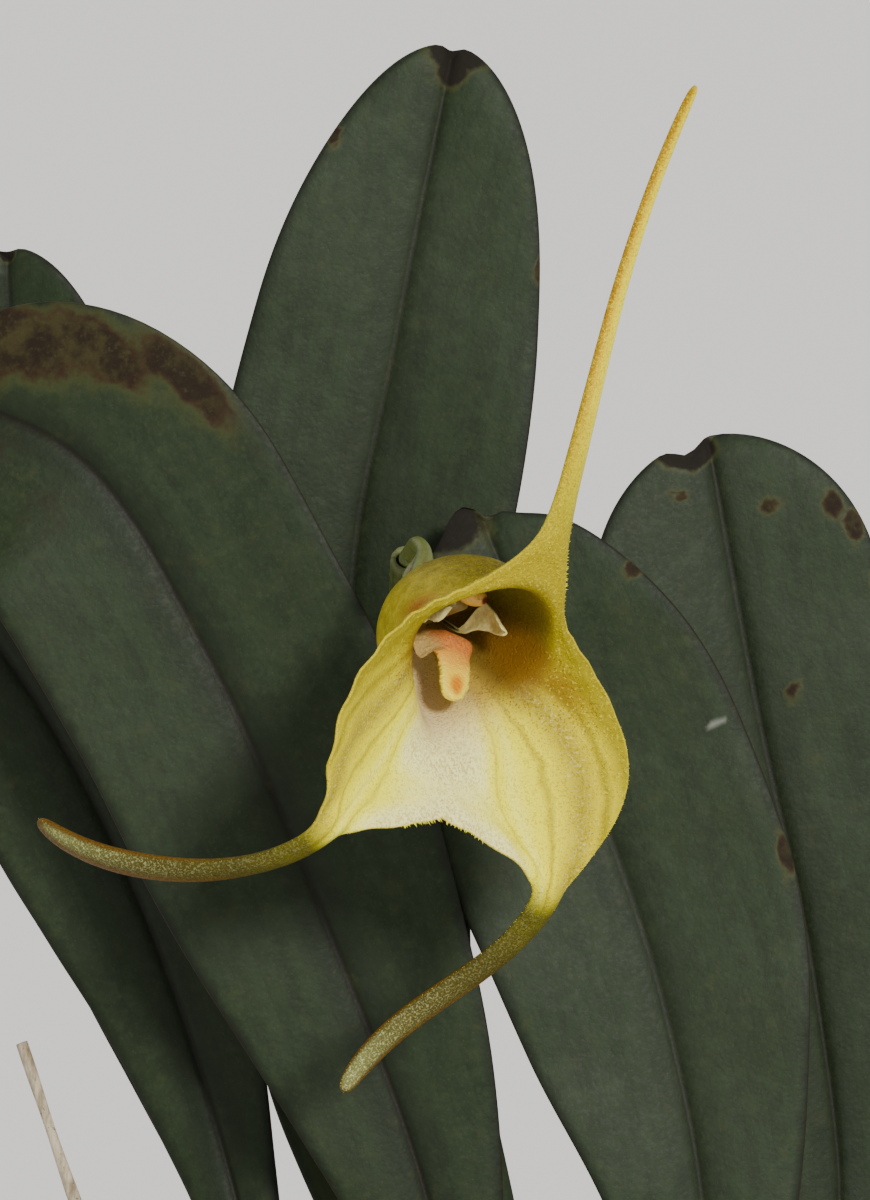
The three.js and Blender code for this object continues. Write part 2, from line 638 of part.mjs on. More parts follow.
// One step of Catmull-Clark subdivision on an open cage of four-sided faces.
function subdivide({ points, faces }) {
  const edges = new Map();
  faces.forEach((face, f) => face.forEach((a, i) => {
    const b = face[(i + 1) % 4];
    const key = a < b ? `${a}_${b}` : `${b}_${a}`;
    if (!edges.has(key)) {
      edges.set(key, { ends: [a, b], faces: [] });
    }
    edges.get(key).faces.push(f);
  }));
  const facePoints = faces.map((face) => average(face.map((v) => points[v])));
  const around = points.map(() => ({ faces: [], mids: [], rim: [] }));
  const result = points.map((p) => p);
  for (const edge of edges.values()) {
    const [a, b] = edge.ends;
    const mid = average([points[a], points[b]]);
    const open = edge.faces.length === 1;
    edge.index = result.push(open ? mid : average([mid, average(edge.faces.map((f) => facePoints[f]))])) - 1;
    for (const [v, other] of [[a, b], [b, a]]) {
      around[v].mids.push(mid);
      if (open) {
        around[v].rim.push(points[other]);
      }
    }
  }
  faces.forEach((face, f) => face.forEach((v) => around[v].faces.push(facePoints[f])));
  points.forEach((p, v) => {
    const { faces: near, mids, rim } = around[v];
    const n = mids.length;
    if (rim.length > 0) {
      result[v] = weighted([[p, 0.75], [rim[0], 0.125], [rim[1], 0.125]]);
    } else {
      result[v] = weighted([[average(near), 1 / n], [average(mids), 2 / n], [p, (n - 3) / n]]);
    }
  });
  const first = result.length;
  result.push(...facePoints);
  const split = faces.flatMap((face, f) => face.map((v, i) => {
    const edgeOf = (a, b) => edges.get(a < b ? `${a}_${b}` : `${b}_${a}`).index;
    return [v, edgeOf(v, face[(i + 1) % 4]), first + f, edgeOf(face[(i + 3) % 4], v)];
  }));
  return { points: result, faces: split };
}

// Gives an open surface its thickness: a skin on either side and a wall along each open edge.
function thicken({ points, faces }) {
  const places = points.map((p) => vector(p.slice(0, 3)));
  const normals = points.map(() => new THREE.Vector3());
  for (const [a, b, c, d] of faces) {
    const across = places[c].clone().sub(places[a]);
    const normal = across.cross(places[d].clone().sub(places[b]));
    for (const v of [a, b, c, d]) {
      normals[v].add(normal);
    }
  }
  const skin = (sign) => places.map((p, v) => p.clone()
    .addScaledVector(normals[v].clone().normalize(), sign * points[v][3]));
  const count = points.length;
  const index = [];
  const used = new Map();
  for (const [a, b, c, d] of faces) {
    index.push(a, b, c, a, c, d);
    index.push(count + a, count + c, count + b, count + a, count + d, count + c);
    for (const [v, w] of [[a, b], [b, c], [c, d], [d, a]]) {
      used.set(`${v}_${w}`, [v, w]);
    }
  }
  for (const [v, w] of used.values()) {
    if (!used.has(`${w}_${v}`)) {
      index.push(w, v, count + v, w, count + v, count + w);
    }
  }
  return closedGeometry([...skin(1), ...skin(-1)], index);
}

// ---------------------------------------------------------------- flower: the inner parts

// A small flat blade: rows of [centre, half width vector], with a thickness.
function smallBlade(rows, halfThickness) {
  const rings = rows.map(({ centre, half }, i) => {
    const c = vector(centre);
    const h = vector(half);
    const near = vector(rows[Math.max(i - 1, 0)].centre);
    const far = vector(rows[Math.min(i + 1, rows.length - 1)].centre);
    const normal = far.sub(near).cross(h).normalize().multiplyScalar(halfThickness);
    return [
      c.clone().add(h).addScaledVector(normal, 0.6), c.clone().add(normal),
      c.clone().sub(h).addScaledVector(normal, 0.6), c.clone().sub(h).addScaledVector(normal, -0.6),
      c.clone().sub(normal), c.clone().add(h).addScaledVector(normal, -0.6),
    ];
  });
  return loft(rings);
}

// A petal stands beside the column, broadest at its cut-off tip.
function petal(side) {
  return smallBlade([
    { centre: [side * 1.6, 0.9, -5.4], half: [0, 0.5, 0.1] },
    { centre: [side * 2.2, 1.6, -4], half: [side * 0.1, 0.8, 0] },
    { centre: [side * 2.4, 2.1, -2.5], half: [side * 0.1, 1, 0] },
    { centre: [side * 2.4, 2.3, -1.1], half: [side * -0.3, 1.25, -0.1] },
    { centre: [side * 2.3, 2.4, -0.2], half: [side * -0.5, 1.15, -0.4] },
  ], 0.32);
}

// The lip hinges below the column: two shoulders, then a tongue bent forward and down.
const LIP_ROWS = [
  { centre: [0.1, -1.3, -4.4], half: [0.9, 0, 0] },
  { centre: [0.1, -0.6, -3.8], half: [2, 0, 0] },
  { centre: [0.2, -0.5, -3], half: [2.1, 0, 0] },
  { centre: [0.3, -1.1, -2.1], half: [1.3, 0, 0] },
  { centre: [0.4, -2, -1.1], half: [1.15, 0, 0] },
  { centre: [0.4, -2.9, -0.1], half: [1.2, 0, 0] },
  { centre: [0.4, -3.6, 0.6], half: [1, 0, 0] },
  { centre: [0.4, -4, 1], half: [0.5, 0, 0] },
];
const COLUMN_LINE = [[0, -0.3, -7.9], [0, 0.3, -6.6], [0, 1.5, -4.4], [0, 2.7, -2.6]];
const FOOT_LINE = [[0, 0.3, -6.2], [0, -1.1, -6], [0, -1.9, -5.3]];
const FLOWER_UP = new THREE.Vector3(0, 1, 0);

function columnGeometry() {
  const column = rod(smoothCurve(COLUMN_LINE), (t) => mix(0.75, 1.05, t), { steps: 6, facing: FLOWER_UP });
  const foot = rod(smoothCurve(FOOT_LINE), () => 0.6, { steps: 4, facing: new THREE.Vector3(1, 0, 0) });
  return toGeometry(toSolid(column).add(toSolid(foot)));
}

function antherCap() {
  const cap = new THREE.SphereGeometry(0.95, 10, 6);
  cap.scale(1.05, 0.7, 0.85);
  cap.translate(0, 3.4, -1.4);
  return cap;
}

// ---------------------------------------------------------------- flower: ovary and pedicel

// It leaves the mouth of the floral bract, loops over and meets the foot of the cup.
const PEDICEL_LINE = [[-9.9, -8.6, 179.3], [-9.8, -11.4, 180.1], [-9.9, -14, 179.4], [-10, -16.2, 177.8],
  [-9.9, -18.2, 176.5]];

function ovaryGeometry() {
  const curve = smoothCurve(PEDICEL_LINE);
  const rings = [];
  const steps = 12;
  for (let i = 0; i <= steps; i += 1) {
    const t = i / steps;
    const swell = smoothstep(t, 0.45, 0.75);
    const section = roundSection(mix(0.6, 1.15, swell), 12, 6, -0.1 * swell);
    rings.push(ringAt(crossFrame(curve, t, new THREE.Vector3(1, 0, 0)), section));
  }
  return loft(rings);
}

function addFlower() {
  const flower = new THREE.Group();
  flower.position.set(...FLOWER_CENTRE);
  const turn = new THREE.Quaternion().setFromAxisAngle(new THREE.Vector3(0, 0, 1), radians(FLOWER_YAW));
  const nod = new THREE.Quaternion().setFromAxisAngle(new THREE.Vector3(1, 0, 0), radians(90 + FLOWER_NOD));
  const roll = new THREE.Quaternion().setFromAxisAngle(new THREE.Vector3(0, 0, 1), radians(-FLOWER_ROLL));
  flower.quaternion.copy(turn.multiply(nod).multiply(roll));
  orchid.add(flower);
  addPiece('calyx', thicken(subdivide(sepalCage())), SEPAL_YELLOW, flower);
  addPiece('petal_right', petal(1), PETAL_CREAM, flower);
  addPiece('petal_left', petal(-1), PETAL_CREAM, flower);
  addPiece('lip', smallBlade(LIP_ROWS, 0.45), LIP_PINK, flower);
  addPiece('column', columnGeometry(), COLUMN_CREAM, flower);
  addPiece('anther_cap', antherCap(), ANTHER_PEACH, flower);
  addPiece('ovary', ovaryGeometry(), OVARY_GREEN);
}

addPot();
addPottingMix();
addRhizome();
addLeaves();
addStalks();
addFlower();

export default orchid;
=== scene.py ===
"""The looks of a potted masdevallia orchid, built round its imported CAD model.

Every piece is made in millimetres in the row's frame and stored in metres.
"""
import math

import bpy
import bmesh
import numpy as np
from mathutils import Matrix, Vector


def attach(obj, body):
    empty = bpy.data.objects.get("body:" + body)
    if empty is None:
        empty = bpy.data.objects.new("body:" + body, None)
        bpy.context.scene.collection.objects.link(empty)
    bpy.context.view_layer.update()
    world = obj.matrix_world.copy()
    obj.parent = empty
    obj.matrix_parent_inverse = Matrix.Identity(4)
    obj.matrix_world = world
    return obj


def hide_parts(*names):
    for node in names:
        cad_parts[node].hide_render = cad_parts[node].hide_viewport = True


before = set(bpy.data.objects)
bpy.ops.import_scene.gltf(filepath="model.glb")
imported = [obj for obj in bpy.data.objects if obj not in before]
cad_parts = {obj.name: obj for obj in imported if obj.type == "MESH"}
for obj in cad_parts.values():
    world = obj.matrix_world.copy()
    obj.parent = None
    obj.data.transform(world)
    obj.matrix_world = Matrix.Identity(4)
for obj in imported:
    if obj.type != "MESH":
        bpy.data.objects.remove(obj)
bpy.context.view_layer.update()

MM = 0.001

# ---- driving dimensions, as in the CAD

MIX_TOP = 72
POT_HEIGHT = 80
POT_FOOT_RADIUS = 31
POT_RIM_RADIUS = 46
POT_RIM_DEPTH = 16
POT_RIM_LEDGE = 2.4
POT_WALL = 4
POT_FLOOR = 5
DRAIN_RADIUS = 4
DRAIN_CIRCLE = 17
DRAIN_COUNT = 4

STEM_RADIUS = 1.4
STEM_SHARE = 0.14
PETIOLE_HALF_WIDTH = 1.9
PETIOLE_HALF_THICKNESS = 1.1
BLADE_HALF_THICKNESS = 0.6
BLADE_EDGE_HALF_THICKNESS = 0.32
BLADE_GUTTER = 0.1
SHEATH_FOOT = 5
SHEATH_END = 0.17

PEDUNCLE_RADIUS = 0.7
STALK_RADIUS = 0.6

FLOWER_CENTRE = (-5.8, -25, 174.7)
FLOWER_YAW = 34
FLOWER_NOD = 10.5
FLOWER_ROLL = 16.5
SEPAL_HALF_THICKNESS = 0.31
BLADE_BELLY = 0.1

AHEAD = np.array([0.0, -1.0, 0.0])
ACROSS_X = np.array([1.0, 0.0, 0.0])
UP = np.array([0.0, 0.0, 1.0])


# ---- shared maths

def unit(v):
    return v / np.maximum(np.linalg.norm(v, axis=-1, keepdims=True), 1e-12)


def smooth(x, low, high):
    t = np.clip((np.asarray(x, float) - low) / (high - low), 0, 1)
    return t * t * (3 - 2 * t)


def lerp(a, b, t):
    return a + (b - a) * t


def bell(x, width):
    return np.exp(-(np.asarray(x, float) / width) ** 2)


def dome(x, least=0.0):
    """A quarter round that rises from x = 0 and stays 1 beyond x = 1; its square is at least least."""
    return np.sqrt(np.clip(1 - (1 - np.minimum(x, 1)) ** 2, least, 1))


def circle(sides):
    return np.linspace(0, 2 * math.pi, sides, endpoint=False)


def squared(angle, power):
    """Cosine and sine of an angle, pushed out towards a square by a power under 1."""
    c, s = np.cos(angle), np.sin(angle)
    return np.sign(c) * np.abs(c) ** power, np.sign(s) * np.abs(s) ** power


class Line:
    """A smooth line through points, addressed by the share of its length."""

    def __init__(self, points, fine=60):
        p = np.array(points, float)
        p = np.vstack([2 * p[0] - p[1], p, 2 * p[-1] - p[-2]])
        parts = []
        w = np.linspace(0, 1, fine, endpoint=False)[:, None]
        for p0, p1, p2, p3 in zip(p, p[1:], p[2:], p[3:]):
            d0, d1, d2 = [np.linalg.norm(d[:3]) ** 0.5 for d in (p1 - p0, p2 - p1, p3 - p2)]
            a = ((p1 - p0) / d0 - (p2 - p0) / (d0 + d1) + (p2 - p1) / d1) * d1
            b = ((p2 - p1) / d1 - (p3 - p1) / (d1 + d2) + (p3 - p2) / d2) * d1
            bend = w ** 2 * (3 * (p2 - p1) - 2 * a - b) + w ** 3 * (2 * (p1 - p2) + a + b)
            parts.append(p1 + w * a + bend)
        parts.append(p[-2][None])
        self.points = np.vstack(parts)
        steps = np.linalg.norm(np.diff(self.points[:, :3], axis=0), axis=1)
        self.marks = np.concatenate([[0], np.cumsum(steps)])
        self.length = self.marks[-1]

    def at(self, t):
        s = np.asarray(t, float) * self.length
        return np.stack([np.interp(s, self.marks, values) for values in self.points.T], -1)

    def frame(self, t, facing):
        """Centre, side and face directions, and the direction along, at each share t."""
        ahead, behind = self.at(np.minimum(t + 0.004, 1)), self.at(np.maximum(t - 0.004, 0))
        along = unit((ahead - behind)[..., :3])
        side = unit(np.cross(facing, along))
        return self.at(t)[..., :3], side, np.cross(along, side), along


def tube(line, radius, sides, rows, facing=AHEAD, extra=lambda s, a: 0):
    """A round tube along a line; radius is a function of the share, extra of (share, angle)."""
    t, angle = np.linspace(0, 1, rows)[:, None], circle(sides)
    centre, side, face, _ = line.frame(t, facing)
    r = (radius(t) * (1 + extra(t, angle)))[..., None]
    return centre + r * (np.cos(angle)[:, None] * side + np.sin(angle)[:, None] * face), t, angle


def quads(rows, around, closed=False):
    """Quads over a grid that closes round, and along its rows too where it is closed."""
    i, j = np.meshgrid(np.arange(rows if closed else rows - 1), np.arange(around), indexing="ij")
    n, k = (i + 1) % rows, (j + 1) % around
    corners = [i * around + j, i * around + k, n * around + k, n * around + j]
    return np.stack(corners, -1).reshape(-1, 4).tolist()


def lofted(grid):
    """Points and faces of a closed skin over grid[row, around, xyz], with a fan at either end."""
    rows, around = grid.shape[:2]
    points = np.vstack([grid.reshape(-1, 3), grid[0].mean(0)[None], grid[-1].mean(0)[None]])
    faces = quads(rows, around)
    first, last, last_row = rows * around, rows * around + 1, (rows - 1) * around
    for a in range(around):
        b = (a + 1) % around
        faces += [[first, b, a], [last, last_row + a, last_row + b]]
    return points, faces


# ---- making pieces

def add_mesh(name, points, faces, material, replaced=(), values=None, shade=True):
    mesh = bpy.data.meshes.new(name)
    mesh.from_pydata((points * MM).tolist(), [], faces)
    for key, data in (values or {}).items():
        layer = mesh.attributes.new(key, "FLOAT", "POINT")
        layer.data.foreach_set("value", np.asarray(data, np.float32))
    mesh.validate()
    bm = bmesh.new()
    bm.from_mesh(mesh)
    bmesh.ops.recalc_face_normals(bm, faces=bm.faces)
    bm.to_mesh(mesh)
    bm.free()
    mesh.polygons.foreach_set("use_smooth", [shade] * len(mesh.polygons))
    piece = bpy.data.objects.new(name, mesh)
    bpy.context.scene.collection.objects.link(piece)
    piece.data.materials.append(material)
    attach(piece, "root")
    if replaced:
        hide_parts(*replaced)
    return piece


def add_lofted(name, grid, material, slot, node, **values):
    """Adds a piece lofted over a grid; a value is given by row and by place around."""
    points, faces = lofted(grid)
    for key, data in values.items():
        data = np.broadcast_to(data, grid.shape[:2])
        values[key] = np.concatenate([data.reshape(-1), [data[0].mean(), data[-1].mean()]])
    return add_mesh(name, points, faces, material, [node], values)


def add_joined(name, parts, material, replaced=(), shade=True):
    """Adds one piece of many (points, faces, values) parts."""
    points, faces, values, start = [], [], {}, 0
    for part, part_faces, part_values in parts:
        points.append(part)
        faces += [[i + start for i in face] for face in part_faces]
        for key, data in part_values.items():
            values.setdefault(key, []).append(np.broadcast_to(data, len(part)))
        start += len(part)
    values = {key: np.concatenate(data) for key, data in values.items()}
    add_mesh(name, np.vstack(points), faces, material, replaced, values, shade)


# ---- node graphs

def rgba(thousandths):
    return (*(c / 1000 for c in thousandths), 1)


class Value:
    """An output in a node graph; arithmetic on it adds math nodes."""

    def __init__(self, graph, socket):
        self.graph, self.socket = graph, socket

    def math(self, operation, *others):
        return self.graph.node("Math", 0, dict(enumerate((self, *others))), operation=operation)

    def __add__(self, other):
        return self.math("ADD", other)

    def __sub__(self, other):
        return self.math("SUBTRACT", other)

    def __rsub__(self, other):
        return self.graph.node("Math", 0, {0: other, 1: self}, operation="SUBTRACT")

    def __mul__(self, other):
        return self.math("MULTIPLY", other)

    def __abs__(self):
        return self.math("ABSOLUTE")

    def spread(self, low, high, to_low=0, to_high=1, kind="SMOOTHSTEP"):
        """The share of the way from low to high, mapped to a new range."""
        limits = {"Value": self, "From Min": low, "From Max": high, "To Min": to_low, "To Max": to_high}
        return self.graph.node("MapRange", 0, limits, interpolation_type=kind)


class Graph:
    """A small writer of shader node trees; colours are written in thousandths."""

    def __init__(self, name):
        self.material = bpy.data.materials.new(name)
        self.material.use_nodes = True
        self.tree = self.material.node_tree
        self.tree.nodes.clear()
        self.coordinates = self.node("TexCoord", "Object", {})

    def link(self, value, socket):
        if isinstance(value, Value):
            self.tree.links.new(value.socket, socket)
        else:
            socket.default_value = rgba(value) if socket.type == "RGBA" else value

    def node(self, kind, output, inputs, **settings):
        """Adds a node with its settings and the inputs that aren't None, and returns one output."""
        node = self.tree.nodes.new("ShaderNode" + kind)
        for key, value in settings.items():
            setattr(node, key, value)
        for key, value in inputs.items():
            if value is not None:
                self.link(value, node.inputs[key])
        return Value(self, node.outputs[output])

    def __getitem__(self, name):
        """The value that each point carries under a name."""
        return self.node("Attribute", "Fac", {}, attribute_name=name)

    def mix(self, share, a, b):
        return self.node("Mix", 2, {0: share, 6: a, 7: b}, data_type="RGBA")

    def over(self, colour, *layers):
        """Lays tints on a colour, each with its share, or with a value and the limits of its spread."""
        for tint, share, *limits in layers:
            colour = self.mix(share.spread(*limits) if limits else share, colour, tint)
        return colour

    def ramp(self, value, stops, kind="EASE"):
        """A colour ramp; a stop is its place and then its colour."""
        node = self.tree.nodes.new("ShaderNodeValToRGB")
        ramp = node.color_ramp
        ramp.interpolation = kind
        while len(ramp.elements) < len(stops):
            ramp.elements.new(0.5)
        for element, (place, *colour) in zip(ramp.elements, stops):
            element.position = place
            element.color = rgba(colour)
        self.link(value, node.inputs[0])
        return Value(self, node.outputs[0])

    def stretched(self, *scale):
        return self.node("Mapping", 0, {"Vector": self.coordinates, "Scale": scale})

    def noise(self, per_mm, detail, rough, vector=None, distort=0):
        inputs = {"Vector": vector or self.coordinates, "Scale": per_mm / MM, "Detail": detail,
                  "Roughness": rough, "Distortion": distort}
        return self.node("TexNoise", 0, inputs)

    def cells(self, per_mm):
        return self.node("TexVoronoi", "Distance", {"Vector": self.coordinates, "Scale": per_mm / MM})

    def bump(self, height, depth, strength, normal=None):
        inputs = {"Strength": strength, "Distance": depth * MM, "Height": height, "Normal": normal}
        return self.node("Bump", 0, inputs)

    def finish(self, colour, roughness, specular=0.5, normal=None, glow=None, reach=()):
        """Ends the tree; glow is the subsurface weight and reach its radius by colour, in mm."""
        radius = [r * MM for r in reach] or None
        inputs = {"Base Color": colour, "Roughness": roughness, "Specular IOR Level": specular,
                  "Normal": normal, "Subsurface Weight": glow, "Subsurface Radius": radius}
        shader = self.node("BsdfPrincipled", 0, inputs)
        self.link(shader, self.tree.nodes.new("ShaderNodeOutputMaterial").inputs[0])
        return self.material


# ---- materials

def leaf_material():
    g = Graph("leaf_green")
    across, along = g["across"], g["along"]
    medium, grain = g.noise(0.7, 4, 0.6), g.noise(2.4, 3, 0.7)
    lengthwise = g.node("CombineXYZ", 0, {0: across * MM, 1: g["tip"] * (0.1 * MM)})
    streak = g.noise(0.55, 4, 0.6, lengthwise)
    pores = g.cells(2.6)
    nerve = abs((across * 1.55).math("SINE"))
    size = abs(across)
    # Along the midrib, scaled by each leaf's rib value: a broad dark band that is painted shade of the
    # midrib's groove, and a thin brown line that is the midrib's own colour.
    blade = along.spread(0.3, 0.45) * g["rib"]
    # Near the edge: a dark green tint over the outer millimetre, painted shade where the rounded edge turns
    # from the light, and a thin brown line at the rim, the leaf's own colour.
    margin = g["edge"] + medium * 0.5
    ragged = g["brown"] + (g.noise(0.55, 6, 0.66) - 0.5) * 0.95
    blotch = g.noise(0.42, 5, 0.66)
    dead = ragged.spread(0.28, 0.62, 0, 0.92)
    stain = g["stain"] * blotch.spread(0.38, 0.62, 0.15, 1)
    rust = g.over(
        (12, 5, 2), ((33, 26, 7), blotch, 0.44, 0.66), ((53, 44, 19), grain, 0.5, 0.74, 0, 0.5),
        ((30, 11, 4), ragged, 0.46, 0.74, 0.75, 0), ((7, 4, 3), g["char"], 0.1, 0.8))
    colour = g.over(
        (10, 18, 6), ((15, 27, 9), streak, 0.3, 0.7),
        ((19, 27, 11), g.noise(0.09, 3, 0.6), 0.35, 0.7, 0, 0.4),
        ((23, 37, 14), medium, 0.42, 0.72, 0, 0.6), ((33, 48, 22), grain, 0.5, 0.76, 0, 0.5),
        ((7, 12, 3), grain, 0.46, 0.26, 0, 0.45), ((54, 70, 33), pores, 0.03, 0.24, 0.3, 0),
        ((7, 11, 3), nerve, 0, 0.16, 0.16, 0), ((5, 8, 3), size.spread(0.5, 3.6, 0.55, 0) * blade),
        ((7, 6, 3), size.spread(0.08, 0.55, 0.8, 0) * blade), ((38, 49, 11), along, 0.12, 0.4, 0.75, 0),
        ((38, 51, 20), g["under"] * 0.6), ((4, 7, 3), margin, 0.35, 1.35, 0.65, 0),
        ((12, 7, 3), margin, 0.24, 0.52, 0.7, 0), ((47, 51, 11), ragged, 0.02, 0.42, 0, 0.55),
        (rust, dead), ((18, 7, 4), stain * 0.75), ((150, 158, 132), g["fleck"], 0.15, 0.4))
    rough = (grain + dead * 0.5).spread(0.2, 1.1, 0.5, 0.8)
    relief = pores * 0.45 + grain * 0.9 + nerve * 0.25
    normal = g.bump(relief, 0.06, 0.5, g.bump(g.noise(0.22, 3, 0.5), 0.5, 0.3))
    return g.finish(colour, rough, 0.2, normal)


def sheath_material():
    g = Graph("dry_sheath")
    lines = (g["fibre"] * 46).math("SINE")
    broken = g.noise(0.9, 4, 0.65, g.stretched(1, 1, 0.18))
    colour = g.over(
        (115, 82, 45), ((360, 290, 180), broken, 0.35, 0.68), ((480, 410, 280), lines, 0.2, 1, 0, 0.5),
        ((45, 27, 16), g.noise(0.45, 4, 0.7), 0.52, 0.72, 0, 0.75),
        ((400, 330, 220), g["mouth"], 0.72, 1, 0, 0.6))
    return g.finish(colour, 0.78, 0.25, g.bump(lines + broken, 0.06, 0.7))


def stalk_material():
    g = Graph("flower_stalk")
    fine = g.noise(1.6, 4, 0.65, g.stretched(1, 1, 0.35))
    colour = g.over(
        (80, 105, 18), ((150, 180, 40), fine, 0.35, 0.7),
        ((95, 75, 28), g["along"], 0.02, 0.3, 0.7, 0),
        ((120, 45, 30), g.noise(3.2, 2, 0.6), 0.56, 0.7, 0, 0.6))
    return g.finish(colour, 0.5, 0.35, g.bump(g.noise(2.4, 3, 0.6), 0.05, 0.5), 0.06, (0.8, 0.8, 0.3))


def bract_material():
    g = Graph("floral_bract")
    nerve = (g["fibre"] * 11).math("SINE")
    colour = g.over(
        (56, 73, 15), ((99, 119, 30), g.noise(0.8, 4, 0.6), 0.35, 0.68),
        ((33, 50, 9), nerve, 0.55, 1, 0, 0.55), ((139, 152, 59), g["mouth"], 0.8, 1, 0, 0.7))
    return g.finish(colour, 0.58, 0.2, g.bump(nerve, 0.05, 0.5), 0.06, (0.9, 0.9, 0.4))


def straw_material():
    g = Graph("dry_stalk")
    fine = g.noise(1.4, 4, 0.7, g.stretched(1, 1, 0.25))
    colour = g.over(
        (210, 160, 95), ((520, 450, 320), fine, 0.32, 0.7),
        ((70, 40, 20), g.noise(2.8, 3, 0.6), 0.6, 0.72, 0, 0.8))
    return g.finish(colour, 0.8, 0.2, g.bump(fine, 0.08, 0.7))


BAND_LOW, BAND_HIGH = -3.0, 4.0

# Colours across a lateral sepal by its bands: 0 is the middle vein, 1 the inner and -1 the outer.
BLADE_COLOURS = [
    (-3, 250, 205, 3), (-2.3, 305, 250, 3), (-1.6, 325, 265, 3), (-1.18, 560, 475, 4), (-1, 335, 275, 3),
    (-0.84, 600, 500, 4), (-0.52, 370, 295, 8), (-0.26, 670, 575, 4), (-0.1, 820, 725, 4), (0, 480, 410, 4),
    (0.1, 840, 755, 4), (0.28, 880, 810, 10), (0.54, 920, 870, 110), (0.8, 880, 815, 20),
    (0.92, 870, 800, 14), (1, 650, 590, 10), (1.1, 900, 845, 30), (1.32, 925, 875, 100),
    (1.75, 950, 905, 300), (2.5, 925, 880, 360), (3.3, 900, 850, 340), (4, 915, 860, 350)]
# Colours deep in the cup by its bands: its own browns and yellows, darkened as painted shade, darkest on the
# upper side under the hood.
DEEP_SHADED_COLOURS = [
    (-3, 80, 52, 4), (-1.6, 90, 48, 5), (-0.6, 160, 105, 16), (0.4, 500, 350, 60), (1.6, 640, 500, 180),
    (4, 640, 500, 240)]

# Colours along the lateral tails, and across the dorsal tail.
OLIVE_COLOURS = [
    (0, 120, 113, 3), (0.12, 90, 82, 3), (0.28, 56, 49, 6), (0.52, 75, 64, 13), (0.74, 113, 105, 33),
    (0.9, 86, 67, 12), (1, 82, 48, 4)]
FLAME_COLOURS = [
    (0, 400, 200, 1), (0.2, 640, 410, 1), (0.38, 780, 610, 1), (0.62, 800, 680, 3), (0.82, 860, 800, 60),
    (1, 760, 660, 10)]


def band_stops(stops):
    return [((place - BAND_LOW) / (BAND_HIGH - BAND_LOW), *colour) for place, *colour in stops]


